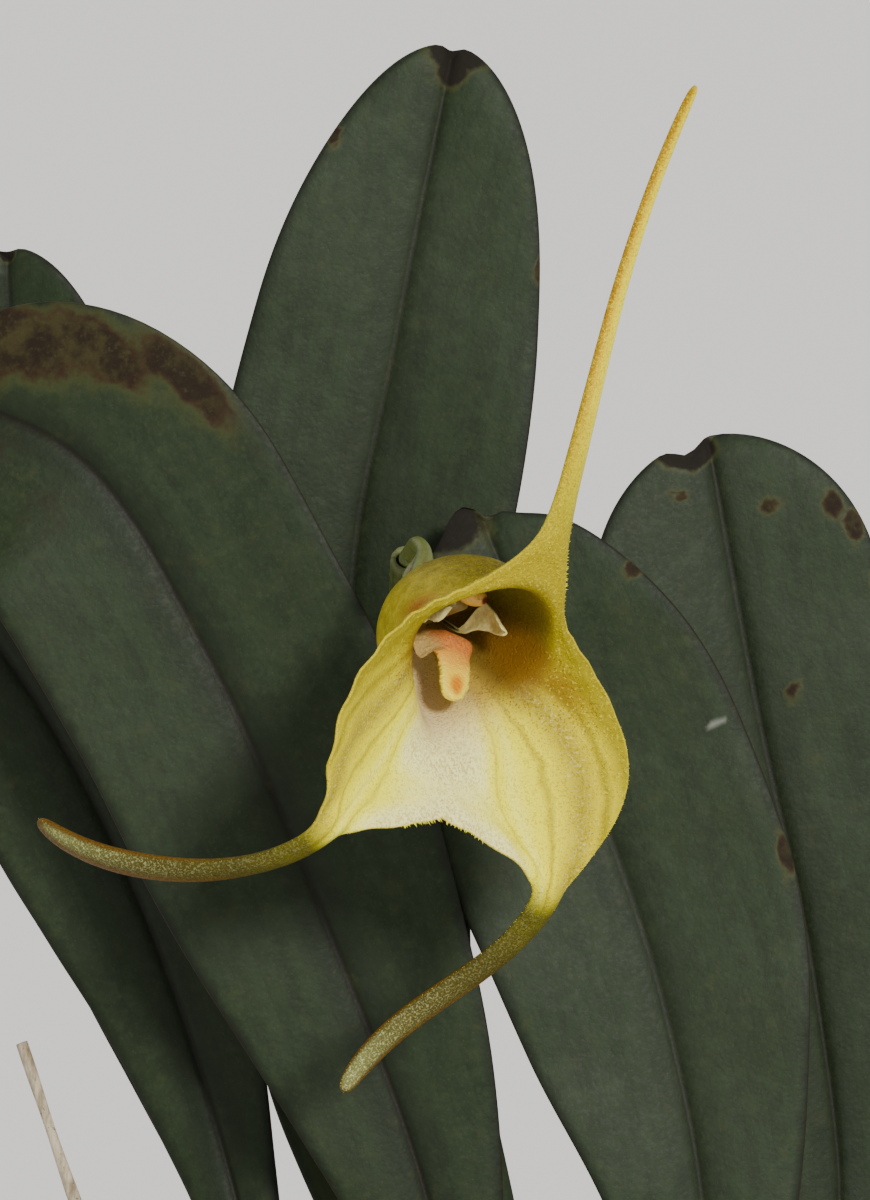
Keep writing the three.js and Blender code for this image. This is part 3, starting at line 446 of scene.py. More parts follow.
def sepal_material():
    """The sepals: coloured by the veins' bands, the depth in the cup with painted shade deep inside and
    under the hood, and the place on a tail.
    """
    g = Graph("sepal_yellow")
    ring, tail, dorsal, blush_and_hood_shade, front = g["ring"], g["tail"], g["dorsal"], g["blush_and_hood_shade"], g["front"]
    grain, coarse, specks = g.noise(3, 3, 0.75), g.noise(0.9, 4, 0.65), g.noise(4.6, 1, 0.6)
    dots = specks.spread(0.54, 0.7)
    fine_dots = g.noise(7, 2, 0.6).spread(0.48, 0.66)
    pits = g.noise(6, 2, 0.6).spread(0.46, 0.3) * coarse.spread(0.34, 0.54, 0.35, 1)
    wander = (g.noise(0.5, 3, 0.5) - 0.5) * 0.26
    place = (g["band"] + wander).spread(BAND_LOW, BAND_HIGH, kind="LINEAR")

    blade = g.ramp(place, band_stops(BLADE_COLOURS), "LINEAR")
    # Inside the cup the deep colours, which hold painted shade, give way to the blade's bands further out.
    inside = g.over(
        g.ramp(place, band_stops(DEEP_SHADED_COLOURS)), (blade, ring, 3.2, 4.9),
        # The blush: an orange-brown patch under the hood, partly the cup's own colour and partly painted
        # shadow of the hood, with brown pits.
        ((165, 76, 5), blush_and_hood_shade, 0.1, 0.85, 0, 0.9), ((210, 90, 8), blush_and_hood_shade.spread(0.01, 0.3) * pits),
        ((540, 460, 160), g["lilac"] * specks.spread(0.46, 0.6, 0, 0.6)))
    # Inside the hood: darker towards the cup as painted shade under the hood, with pale dots further out.
    shaded_hood_inside = g.over(
        (167, 128, 12), ((352, 277, 4), ring, 3.6, 5.4),
        ((563, 458, 11), fine_dots * ring.spread(3.5, 5.5, 0.12, 0.6)))
    # The hood's outer face: its own olive-brown, darkened further as painted shade.
    shaded_hood_outside = g.over(
        (101, 77, 2), ((189, 148, 3), coarse, 0.35, 0.7), ((352, 286, 5), fine_dots * 0.5),
        ((62, 37, 3), pits * 0.6))
    outside = g.over(
        (317, 255, 7), ((493, 405, 18), coarse, 0.35, 0.7), ((176, 150, 7), g["vein"] * 0.6),
        (shaded_hood_outside, dorsal), ((273, 92, 2), g["streak"] * coarse.spread(0.3, 0.6, 0.7, 1)))

    # core is where a lateral tail faces ahead: shine paints a highlight along it, and glitter brightens the
    # pale granules there as painted glints; the orange edging on the flanks is the tails' own colour.
    core, flank = front.spread(0.55, 0.92), front.spread(0.76, 0.44)
    shine = core * (tail.spread(0.42, 0.7) * tail.spread(0.96, 0.8))
    glitter = (core + 0.25) * tail.spread(0.25, 0.7, 0.12, 0.5)
    edging = g.mix(fine_dots * 0.4, (106, 48, 3), (255, 162, 10))
    olive = g.over(
        g.ramp(tail, OLIVE_COLOURS), ((56, 42, 4), coarse, 0.42, 0.64, 0, 0.4),
        ((289, 323, 102), shine * 0.35), ((561, 595, 272), fine_dots * glitter),
        (edging, flank * tail.spread(0.18, 0.4)))
    sheen = g["lane"].spread(-1, 1, kind="LINEAR") - tail.spread(0.35, 0.8, 0, 0.12)
    flame = g.over(
        g.ramp(sheen, FLAME_COLOURS), ((700, 500, 1), coarse, 0.48, 0.64, 0, 0.3),
        ((880, 800, 30), fine_dots * 0.5), ((440, 330, 6), tail, 0.8, 0.98, 0, 0.6))
    flame = g.over(
        (370, 310, 2), (flame, tail, 0.02, 0.34), ((640, 560, 8), fine_dots * tail.spread(0.4, 0.1, 0, 0.5)))

    rim = (g["edge"] + (grain - 0.5) * 0.16).spread(0.95, 1) * tail.spread(0.12, 0, 0, 0.4)
    shown = ring.spread(3.6, 5) * tail.spread(0.12, 0)
    lateral = 1 - dorsal
    colour = g.over(
        outside, (g.mix(dorsal, inside, shaded_hood_inside), g["inner"]),
        (olive, tail.spread(0, 0.1) * lateral), (flame, tail.spread(0, 0.12) * dorsal),
        ((780, 640, 20), rim), ((960, 840, 90), dots * 0.3 * shown), ((300, 200, 10), pits * 0.35))
    relief = grain * 0.6 + dots * 0.5 - pits * 0.4
    normal = g.bump(relief, 0.1, 0.8, g.bump(g.noise(0.5, 3, 0.5), 0.35, 0.3))
    return g.finish(colour, specks.spread(0.3, 0.7, 0.44, 0.66), 0.1, normal, 0.06, (0.8, 0.5, 0.1))


def petal_material():
    g = Graph("petal_cream")
    along, across = g["along"], g["across"]
    grain = g.noise(3.2, 3, 0.65)
    colour = g.over(
        (600, 500, 160), ((760, 680, 300), grain, 0.35, 0.7), ((460, 340, 90), along, 0.2, 0.6, 0.5, 0),
        # Dark olive-brown over the claw: painted shade where the claw sits deep in the cup.
        ((90, 55, 12), along, 0.14, 0.28, 0.95, 0), ((800, 720, 280), abs(across), 0.75, 1, 0, 0.5))
    return g.finish(colour, 0.45, 0.3, g.bump(grain, 0.08, 0.6), 0.08, (0.8, 0.6, 0.3))


def lip_material():
    g = Graph("lip_peach")
    along, across = g["along"], g["across"]
    grain = g.noise(3.4, 3, 0.7)
    base = g.ramp(along, [
        (0, 200, 70, 15), (0.2, 420, 140, 28), (0.38, 600, 200, 35), (0.56, 800, 390, 45),
        (0.72, 900, 600, 40), (1, 920, 720, 50)])
    margin = abs(across).spread(0.45, 0.95) * along.spread(0.5, 0.76)
    spot = ((along - 0.85) * 7.5).math("POWER", 2) + (across * 1.8).math("POWER", 2)
    # The flange folded down at the lip's left gets a darker beige: painted shade.
    flange = across.spread(-0.25, -0.75) * along.spread(0.5, 0.36)
    ridge = along.spread(0.06, 0.16) * along.spread(0.5, 0.32)
    colour = g.over(
        base, ((930, 760, 60), margin * 0.85), ((950, 560, 10), spot, 0.2, 2.6, 0.75, 0),
        ((640, 180, 1), spot, 0, 1.3, 0.9, 0), ((340, 60, 20), ridge * grain.spread(0.44, 0.6, 0, 0.85)),
        ((420, 290, 90), flange * 0.9), ((960, 740, 220), grain, 0.54, 0.72, 0, 0.35))
    return g.finish(colour, 0.5, 0.15, g.bump(grain, 0.2, 1), 0.06, (0.8, 0.4, 0.2))


def spotted_material(name, base, spot):
    g = Graph(name)
    grain = g.noise(3, 3, 0.65)
    colour = g.over([0.8 * c for c in base], (base, grain, 0.35, 0.7), (spot, g["spot"]))
    return g.finish(colour, 0.42, 0.3, g.bump(grain, 0.06, 0.6), 0.06, (0.8, 0.5, 0.2))


def clay_material():
    g = Graph("pot_clay")
    z = g.node("SeparateXYZ", "Z", {0: g.coordinates}).math("DIVIDE", MM)
    fine, grit = g.noise(1.2, 4, 0.65), g.cells(1.1)
    bloom = z.spread(30, 78, 0, 0.3) + (g.noise(0.11, 6, 0.68) - 0.5)
    damp = g.noise(0.06, 5, 0.6) - z * 0.006
    moss = z.spread(10, 0) * g.noise(0.3, 4, 0.6).spread(0.45, 0.6)
    colour = g.over(
        (365, 145, 75), ((520, 235, 130), g.noise(0.035, 5, 0.6), 0.35, 0.68),
        ((600, 330, 210), fine, 0.4, 0.75, 0, 0.45), ((240, 90, 50), grit, 0, 0.16, 0.6, 0),
        ((690, 580, 480), bloom, 0.18, 0.48, 0, 0.45), ((200, 120, 70), damp, 0.32, 0.55, 0, 0.5),
        ((110, 120, 55), moss * 0.5))
    rings = g.bump(g.noise(0.55, 3, 0.6, g.stretched(0.06, 0.06, 1)), 0.25, 0.5)
    return g.finish(colour, 0.88, 0.2, g.bump(fine + grit, 0.14, 0.5, rings))


def bark_material():
    g = Graph("bark_mix")
    layers = g.noise(0.9, 5, 0.7, g.stretched(1, 1, 2.2), 0.6)
    pale = g.over((150, 78, 38), ((330, 210, 118), layers, 0.3, 0.7))
    colour = g.over(
        (24, 13, 8), ((95, 50, 26), layers, 0.32, 0.68), (pale, g["tone"]),
        ((340, 230, 140), g.noise(2.2, 4, 0.7), 0.58, 0.75, 0, 0.6))
    return g.finish(colour, 0.92, 0.15, g.bump(layers + g.noise(2.4, 4, 0.7), 0.5, 0.8))


def soil_material():
    g = Graph("fine_mix")
    lumps = g.cells(0.5)
    colour = g.over(
        (90, 55, 30), ((18, 11, 7), lumps, 0.05, 0.5),
        ((200, 130, 75), g.noise(1.6, 4, 0.7), 0.55, 0.72, 0, 0.7))
    return g.finish(colour, 0.95, 0.1, g.bump(lumps + g.noise(1.5, 4, 0.7), 0.6, 0.9))


def moss_material():
    g = Graph("moss_green")
    colour = g.over(
        (85, 125, 24), ((300, 290, 110), g["tone"]),
        ((45, 75, 16), g.noise(1.8, 3, 0.6), 0.4, 0.7, 0, 0.6))
    return g.finish(colour, 0.8, 0.2, None, 0.05, (0.6, 0.8, 0.3))


def rhizome_material():
    g = Graph("rhizome_brown")
    fine = g.noise(1.1, 5, 0.65)
    silver = g.over((300, 290, 220), ((520, 510, 420), fine, 0.4, 0.7))
    colour = g.over(
        (75, 60, 24), ((210, 190, 80), fine, 0.35, 0.68),
        ((300, 240, 150), g.noise(0.6, 4, 0.7), 0.55, 0.7, 0, 0.7), (silver, g["root"]))
    return g.finish(colour, 0.72, 0.25, g.bump(fine, 0.12, 0.7))


LEAF = leaf_material()
SHEATH = sheath_material()
SEPAL = sepal_material()
PETAL = petal_material()


# ---- leaves

# Lengths are in millimetres. A leaf has its line, its half width, the length of its rounded tip, the
# share of the line below the blade, its turn, how strong the painted groove shade and the brown line
# along its midrib are, and how full its lower part is.
# The notch and the steps in its tip are (depth, half width, place across). A dead patch is (from the
# tip, across, radius along, radius across, blackness); stains and flecks are the same but the last.
LEAVES = {
    "leaf_a": dict(
        line=[[0, 6], [-0.2, 6.5, 98], [-3.6, 7.5, 125], [-10.4, 9.5, 148], [-14.6, 11.5, 172],
              [-11, 14, 194], [-6.5, 17, 216.5]],
        half=12, tip=34, stalk=0.36, turn=0, rib=0.45, notch=(0.5, 0.7, 0.1),
        dead=[(0.6, -0.4, 1.3, 2.6, 1), (2, -0.3, 1.2, 1.2, 0.8), (16, -10.2, 1.2, 0.4, 0.4),
              (9, 7.8, 1, 0.4, 0.4)]),
    "leaf_b": dict(
        line=[[-6, -3], [-5, -2.6, 97], [-8, -1.6, 125], [-16, -0.3, 148], [-25.6, 1.2, 170],
              [-35.4, 3.3, 185], [-48.2, 6.8, 190.6]],
        half=12.5, tip=22, stalk=0.2, full=1.4, turn=3, rib=1, notch=(0.8, 1, 0),
        dead=[(7, -6, 4.6, 2.7, 0), (11.2, -8, 3.8, 2.2, 0), (16.2, -10.4, 3.4, 1.5, 0),
              (3.5, -3, 3.2, 2.2, 0.3)],
        stain=[(9.4, 2.8, 2.4, 1.8), (15.6, 5.4, 3.2, 4), (8.4, 4.9, 3, 1.8), (19.5, -11.2, 4, 0.9)]),
    "leaf_c": dict(
        line=[[-10, 8], [-16, 12, 98], [-27, 18, 128], [-37, 23, 158], [-41.6, 26, 181], [-43, 27, 199.8]],
        half=10.5, tip=24, stalk=0.3, turn=-10, rib=0.5, notch=(0.4, 0.8, 0),
        dead=[(0.2, 0, 0.7, 0.7, 1), (13, 8.9, 2.2, 0.6, 0.3)]),
    "leaf_d": dict(
        line=[[13, 5], [19, 8, 95], [24.5, 11, 120], [22.5, 13.5, 142], [18, 16, 163], [13.9, 19, 185.2]],
        half=11.8, tip=14, stalk=0.24, turn=8, rib=0.55, notch=(1.1, 1.3, 1.9),
        dead=[(0.6, 2.6, 1.3, 2, 0.9), (0.9, 0.9, 1.2, 1.5, 0.9), (6.4, -4, 0.7, 0.7, 0.4),
              (7.2, -8.9, 1.2, 0.7, 0.3), (9.3, -10.3, 1.3, 0.7, 0.3), (4.2, 3.4, 0.6, 0.6, 0.3),
              (21.6, -3.2, 0.6, 0.6, 0.3), (14, -11.2, 1, 0.5, 0.3)]),
    "leaf_e": dict(
        line=[[6, -5], [9.5, -5, 98], [13.1, -3, 122], [10, 0.5, 142], [3.6, 4, 161], [-4.6, 6.5, 180.6]],
        half=13, tip=27, stalk=0.22, turn=5, rib=0.5, notch=(0.8, 0.7, -0.5),
        steps=[(-0.95, 1.7, 1.5), (0.75, 2.4, -3.2)],
        dead=[(0.8, 2.3, 2, 2.3, 0.95), (8.9, -9.3, 0.7, 0.7, 0.2), (33, -12.4, 1.6, 0.5, 0.4)],
        fleck=[(22.2, -10.9, 0.34, 1.2)]),
    "leaf_f": dict(
        line=[[-14, 1], [-18.5, 5, 98], [-24.5, 10, 127], [-33, 14, 151], [-42.5, 17, 167.5],
              [-52.5, 19, 178]],
        half=9.5, tip=20, stalk=0.3, turn=-8, rib=0.8, notch=(0.6, 0.9, 0),
        dead=[(0.5, 0, 2.2, 2.4, 0.8), (9, 5, 2.4, 1.4, 0.5)]),
    "leaf_g": dict(
        line=[[6, 13], [8, 18, 98], [11, 24, 125], [12, 29, 150], [11, 32, 169]],
        half=9.5, tip=18, stalk=0.3, turn=165, rib=0.6, notch=(0.6, 0.8, 0),
        dead=[(0.4, 0, 1.4, 1.2, 0.8)]),
    "leaf_h": dict(
        line=[[17, -3], [24, -6, 90], [34, -9, 106], [46, -12, 118], [57, -16, 123]],
        half=9.5, tip=15, stalk=0.32, turn=30, rib=0.6, notch=(0.7, 0.9, 0),
        dead=[(0.5, 0, 1.6, 1.4, 0.8), (12, 7.8, 1.8, 0.7, 0.2)]),
    "leaf_i": dict(
        line=[[-16, -7], [-22, -14, 88], [-30, -22, 101], [-38, -29, 109], [-47, -36, 111]],
        half=8.5, tip=14, stalk=0.34, turn=-35, rib=0.6, notch=(0.6, 0.8, 0),
        dead=[(0.5, 0, 1.3, 1.1, 0.8)]),
    "leaf_j": dict(
        line=[[-6, 15], [-9, 22, 98], [-13, 31, 122], [-16, 38, 143], [-17, 44, 158]],
        half=9.5, tip=18, stalk=0.3, turn=190, rib=0.6, notch=(0.6, 0.9, 0),
        dead=[(0.4, 0, 1.6, 1.4, 0.8), (15, -8.6, 2.4, 0.7, 0.2)]),
    "leaf_k": dict(
        line=[[15, 13], [21, 20, 96], [29, 28, 118], [37, 35, 136], [45, 42, 147]],
        half=9.5, tip=15, stalk=0.32, turn=140, rib=0.6, notch=(0.7, 0.9, 0),
        dead=[(0.5, 0, 1.8, 1.3, 0.8)]),
}
BLADE_ROWS = 104
STALK_ROWS = 22
SLEEVE_ROWS = 26
SLEEVE_SIDES = 48
ACROSS_HALF = [1, 0.997, 0.985, 0.955, 0.9, 0.82, 0.72, 0.6, 0.48, 0.36, 0.26, 0.175, 0.11, 0.06, 0.025]
ACROSS = np.array([*ACROSS_HALF, 0, *[-v for v in ACROSS_HALF[::-1]]])


def build_leaf(name, leaf, line, facing, seed):
    """A blade with its stem: rows along the line, each with its upper and then its lower side."""
    length, stalk, tip = line.length, leaf["stalk"], leaf["tip"]
    blade_length = length * (1 - stalk)
    on_blade = 1 - blade_length * np.linspace(1, 0, BLADE_ROWS) ** 1.5 / length
    t = np.concatenate([np.linspace(0, stalk, STALK_ROWS, endpoint=False), on_blade])[:, None]
    from_tip = np.minimum(length * (1 - t), blade_length)
    share = np.clip((from_tip - tip) / (blade_length - tip), 0, 1) ** leaf.get("full", 1)
    lower_width = lerp(PETIOLE_HALF_WIDTH, leaf["half"], (1 + np.cos(math.pi * share)) / 2)
    width = np.where(from_tip < tip, np.maximum(leaf["half"] * dome(from_tip / tip), 0.3), lower_width)
    middle = lerp(PETIOLE_HALF_THICKNESS, BLADE_HALF_THICKNESS, smooth(t, stalk, 0.6))
    blade = smooth(t, stalk, stalk + 0.15)

    phases = np.random.default_rng(seed).uniform(0, 2 * math.pi, 6)
    v = np.concatenate([ACROSS, -ACROSS[1:-1]])
    upper = np.arange(len(v)) < len(ACROSS)
    x = width * v * (1 + blade * 0.012 * np.sin(t * 31 + phases[0] + v))
    half = lerp(middle, BLADE_EDGE_HALF_THICKNESS, v ** 2) * np.sqrt(np.clip(1 - np.abs(v) ** 12, 0, 1))
    half = half * lerp(1, smooth(from_tip, -0.4, 2.2), blade)
    lift = BLADE_GUTTER * width * (0.75 * np.abs(v) ** 1.5 + 0.25 * np.abs(v))
    groove = blade * (0.26 * bell(x, 0.36) + 0.16 * bell(x, 1.5))
    keel = blade * 0.4 * bell(x, 0.7) * smooth(from_tip, 2, 30)
    cockle = 0.16 * np.sin(t * 23 + phases[1] + 1.3 * v) + 0.1 * np.sin(t * 47 + phases[2] - 2.1 * v)
    cockle = blade * (cockle + 0.05 * np.sin(t * 90 + phases[3]) * v)
    out = np.where(upper, half - groove, -half - keel) + lift + cockle * np.abs(v)
    angle = np.where(upper, 1, -1) * np.arccos(v)
    flat = smooth(t, STEM_SHARE, stalk)
    across = lerp(STEM_RADIUS * np.cos(angle), x, flat)
    out = lerp(STEM_RADIUS * np.sin(angle), out, flat)

    steps = [leaf["notch"], *leaf.get("steps", ())]
    back = sum(depth * bell(x - place, spread) for depth, spread, place in steps)
    back = back * blade * np.exp(-from_tip / 5)
    centre, side, face, along = line.frame(t, facing)
    grid = centre + across[..., None] * side + out[..., None] * face - back[..., None] * along

    marks = {kind: np.zeros(x.shape) for kind in ("dead", "char", "fleck", "stain")}
    for kind in ("dead", "fleck", "stain"):
        for place, place_across, radius, radius_across, *black in leaf.get(kind, ()):
            reach = np.sqrt(((from_tip - place) / radius) ** 2 + ((x - place_across) / radius_across) ** 2)
            patch = (1 - smooth(reach, 0.2, 1.6)) * blade if black else 1 - np.clip(reach, 0, 1)
            marks[kind] = np.maximum(marks[kind], patch)
            if black:
                marks["char"] = np.maximum(marks["char"], black[0] * smooth(patch, 0.05, 0.6))
    edge = np.minimum((1 - np.abs(v)) * width, from_tip + 0.02) + 9 * (1 - blade)
    add_lofted(name + "_blade", grid, LEAF, "leaf", name, across=x, edge=edge, tip=from_tip, along=t,
               under=np.where(upper, 0.0, 1.0), brown=marks["dead"], char=marks["char"],
               fleck=marks["fleck"], stain=marks["stain"], rib=leaf["rib"])


def add_sleeve(name, node, material, line, start, end, inner, wall, flare, seed, slant, rough_mouth,
               mouth_wall=0.45, ribbed=1.0, facing=AHEAD):
    """Adds an open papery tube with a slanting mouth, its outer skin and then its inner."""
    pick = np.random.default_rng(seed)
    angle, share = circle(SLEEVE_SIDES), np.linspace(0, 1, SLEEVE_ROWS)[:, None]
    ragged = sum(0.5 * np.sin(count * angle + pick.uniform(0, 6)) for count in (3, 7))
    mouth = end + slant * (np.cos(angle - math.pi / 2) - 1) / 2 + rough_mouth * (ragged - 1)
    ribs = ribbed * (0.05 * np.sin(angle * 12) + 0.03 * np.sin(angle * 5 + 1))
    wrinkle = ribbed * 0.06 * np.sin(share * 21 + pick.uniform(0, 6)) * np.sin(2 * angle + 1)
    centre, side, face, _ = line.frame(lerp(start, mouth, share), facing)
    direction = np.cos(angle)[:, None] * side + np.sin(angle)[:, None] * face
    inside = inner + flare * share ** 2
    outside = inside + wall * lerp(1, mouth_wall, share) + ribs + wrinkle
    grid = np.concatenate([centre + outside[..., None] * direction,
                           (centre + inside[..., None] * direction)[::-1]])
    shape = grid.shape[:2]
    values = {"fibre": np.broadcast_to(angle, shape).reshape(-1),
              "mouth": np.broadcast_to(np.concatenate([share, share[::-1]]), shape).reshape(-1)}
    add_mesh(name, grid.reshape(-1, 3), quads(*shape, closed=True), material, [node], values)


for number, (leaf_name, leaf) in enumerate(LEAVES.items()):
    foot, *rest = leaf["line"]
    leaf_line = Line([[*foot, MIX_TOP + 0.5], *rest])
    turn = math.radians(leaf["turn"])
    leaf_facing = np.array([math.sin(turn), -math.cos(turn), 0])
    build_leaf(leaf_name, leaf, leaf_line, leaf_facing, 40 + number)
    sheath_name = leaf_name.replace("leaf", "sheath")
    add_sleeve(sheath_name + "_paper", sheath_name, SHEATH, leaf_line,
               SHEATH_FOOT / leaf_line.length, SHEATH_END + 0.01, inner=STEM_RADIUS + 0.25, wall=0.5,
               flare=0.5, seed=70 + number, slant=0.045, rough_mouth=0.01, facing=leaf_facing)


# ---- flower stalks

PEDUNCLE = Line([
    [-3, 1.5, MIX_TOP + 0.5], [-3.4, 2.8, 95], [-5.5, 4.2, 118], [-10, 5, 138], [-13.2, 5, 155],
    [-12.6, 3.6, 166], [-10.4, 1, 172], [-10.2, -4, 176.8], [-10, -8, 178.9]])
SPENT = Line([
    [-12, -4, MIX_TOP + 0.5], [-19, -4.5, 90], [-29, -3, 110], [-35.2, -1.5, 124.8], [-40.2, 0, 139.6]])
BRACT_FOOT, BRACT_END = 0.36, 0.445
FLORAL_BRACT_FOOT, FLORAL_BRACT_END = 0.93, 0.999


def peduncle_radius(s):
    nodes = 0.18 * bell(s - BRACT_FOOT, 0.012) + 0.15 * bell(s - FLORAL_BRACT_FOOT, 0.01)
    return PEDUNCLE_RADIUS * (1 + nodes)


grid, t, _ = tube(PEDUNCLE, peduncle_radius, sides=14, rows=140)
add_lofted("peduncle_stem", grid, stalk_material(), "stalk", "peduncle", along=t)
add_sleeve("peduncle_bract_paper", "peduncle_bract", SHEATH, PEDUNCLE, BRACT_FOOT, BRACT_END,
           inner=PEDUNCLE_RADIUS + 0.22, wall=0.35, flare=0.35, seed=91, slant=0.03, rough_mouth=0.004)
add_sleeve("floral_bract_sleeve", "floral_bract", bract_material(), PEDUNCLE, FLORAL_BRACT_FOOT,
           FLORAL_BRACT_END, inner=PEDUNCLE_RADIUS + 0.15, wall=0.42, flare=0.06, seed=92, slant=0.012,
           rough_mouth=0, mouth_wall=1, ribbed=0.3)
grid, _, _ = tube(SPENT, lambda s: STALK_RADIUS * (1 - 0.3 * s) * (1 + 0.12 * np.sin(40 * s)),
                  sides=12, rows=120, extra=lambda s, a: 0.12 * np.cos(3 * a + 6 * s))
add_lofted("spent_stalk_straw", grid, straw_material(), "straw", "spent_stalk")


# ---- flower: the three sepals

# Places in the flower are its own: across, up and forward from its centre.
MERIDIAN_ANGLES = [0, 13, 33, 57, 80, 103, 118, 132, 143, 154, 166, 175, 180]
CALYX_SUBDIVISIONS = 3
# Rings of the cup: its depth at the top, the sides and the bottom, its half width, its reach above
# and below, and how far its lower half is pinched in.
CUP_RINGS = [(-7, -7, -7, 1.4, 1.4, 1.4, 0), (-6.8, -6.9, -6.8, 2.9, 3.2, 3.2, 0),
             (-4.4, -4.8, -5, 4.3, 5.5, 5, 0.1), (0.8, -1, -2.2, 5.6, 6.8, 5.9, 0.35),
             (4.8, 1.6, 0.6, 6.3, 5.5, 7.4, 0.65)]
MARGIN_RIGHT = [
    [-0.3, 9.6, 6], [1.1, 9.2, 5.8], [3.6, 5.9, 4.5], [5.4, 3.3, 3], [8.8, 1.2, 4], [14.2, -4.6, 6.4],
    [13.6, -10.4, 6.4], [11.7, -14.6, 5.9], [10.6, -15.2, 5.9], [9.6, -14.5, 5.8], [4.6, -12.7, 5.3],
    [1, -12.1, 4.5], [0, -11.6, 4.2]]
MARGIN_LEFT = [
    [-1.7, 9.4, 6], [-3.6, 5.9, 4.5], [-5.3, 3.5, 3], [-9.5, 1.5, 4.3], [-13.7, -4, 6.4], [-12.9, -9.2, 6.4],
    [-11, -13.4, 5.7], [-9.9, -14.1, 5.6], [-8.8, -13.9, 5.4], [-4.6, -13.1, 5], [-1, -12.2, 4.4]]
# Rows of a tail: the middle of its section, its width and its half thickness.
DORSAL_TAIL = [
    [-0.1, 12.6, 5.3, 1.9, 0.5], [0.3, 19.9, 3.7, 1.5, 0.48], [0.4, 27, 2.4, 1.25, 0.45],
    [0.3, 33.2, 2.1, 1.05, 0.42], [0.1, 38.6, 2.5, 0.95, 0.38], [-0.3, 42.2, 3.4, 0.8, 0.34],
    [-0.45, 43, 3.75, 0.6, 0.26], [-0.5, 43.3, 3.85, 0.2, 0.1]]
LEFT_TAIL = [
    [-11, -16.1, 4.3, 2.6, 0.5], [-12.8, -18.3, 2.6, 1.9, 0.55], [-15.4, -20.3, 0, 2.3, 0.7],
    [-18, -21.5, -3, 2.7, 0.77], [-20, -22.1, -6, 2.6, 0.76], [-21.4, -22.1, -8.6, 2.3, 0.7],
    [-22.05, -21.85, -10.2, 1.8, 0.58], [-22.35, -21.7, -10.95, 1.2, 0.42],
    [-22.45, -21.65, -11.2, 0.4, 0.15]]
RIGHT_TAIL = [
    [11.4, -17.6, 4.3, 2.5, 0.45], [10.8, -20.9, 2.9, 2.3, 0.5], [9, -24.2, 1.6, 2.3, 0.62],
    [6.8, -27, 0.8, 2.3, 0.7], [5, -30, 0.1, 2.2, 0.72], [3.9, -32.4, -0.1, 1.95, 0.66],
    [3.5, -33.7, -0.1, 1.5, 0.5], [3.42, -34.2, -0.1, 1, 0.36], [3.4, -34.4, -0.1, 0.35, 0.12]]
# Points of the margin at which a tail grows, and the lane of those at either side of them.
TAIL_ROOTS = (0, 8, 16)
MARGIN_LANES = {1: 1, 7: 1, 9: -1, 15: -1, 17: 1, 23: -1}

# A point of the cage is its place and then these values: half thickness, ring, angle, side, share of
# the way along a tail, lane across a tail, nearness to the free edge, dorsal or lateral.
THICK, RING = 3, 4


def turned(axis, degrees):
    c, s = math.cos(math.radians(degrees)), math.sin(math.radians(degrees))
    if axis == "x":
        return np.array([[1, 0, 0], [0, c, -s], [0, s, c]])
    return np.array([[c, -s, 0], [s, c, 0], [0, 0, 1]])


FLOWER_TURN = turned("z", FLOWER_YAW) @ turned("x", 90 + FLOWER_NOD) @ turned("z", -FLOWER_ROLL)


def placed(points):
    return points @ FLOWER_TURN.T + np.array(FLOWER_CENTRE)


def cup_ring(top, side, bottom, half_width, above, below, pinch):
    half = []
    for angle in MERIDIAN_ANGLES:
        c, s = math.cos(math.radians(angle)), math.sin(math.radians(angle))
        height, forward = (above, top) if c > 0 else (below, bottom)
        width = half_width * (1 - pinch * max(0, -c))
        half.append([width * s, height * c, lerp(side, forward, c * c)])
    return np.array(half + [[-x, y, z] for x, y, z in half[1:-1][::-1]])


def sepal_cage():
    """The coarse cage of the calyx: rings from the foot of the cup to the margin, and three tails."""
    rings = [cup_ring(*row) for row in CUP_RINGS]
    throat, margin = rings[-1], np.array(MARGIN_RIGHT + MARGIN_LEFT[::-1], float)
    reach = np.linalg.norm(margin - throat, axis=1)
    for share in (0.36, 0.72):
        sag = BLADE_BELLY * math.sin(math.pi * share) * reach
        rings.append(lerp(throat, margin, share) - np.outer(sag, [0, 0, 1]))
    rings.append(margin)
    around, last = len(margin), (len(rings) - 1) * len(margin)
    angles = MERIDIAN_ANGLES + MERIDIAN_ANGLES[1:-1][::-1]
    sides = [0] + [1] * 11 + [0] + [-1] * 11
    points = []
    for r, ring in enumerate(rings):
        free = r == len(rings) - 1
        for j, p in enumerate(ring):
            lane = MARGIN_LANES.get(j, 0) if free else 0
            points.append([*p, SEPAL_HALF_THICKNESS, r, angles[j], sides[j], 0, lane,
                           float(free and j not in TAIL_ROOTS), float(smooth(angles[j], 70, 30))])
    faces = quads(len(rings), around)
    add_tail(points, faces, [last + around - 1, last, last + 1], DORSAL_TAIL, 0, (8, 0, 8), -1)
    add_tail(points, faces, [last + 7, last + 8, last + 9], RIGHT_TAIL, 1, (137, 143, 149), 1)
    add_tail(points, faces, [last + 15, last + 16, last + 17], LEFT_TAIL, -1, (149, 143, 137), -1)
    return np.array(points), np.array(faces)


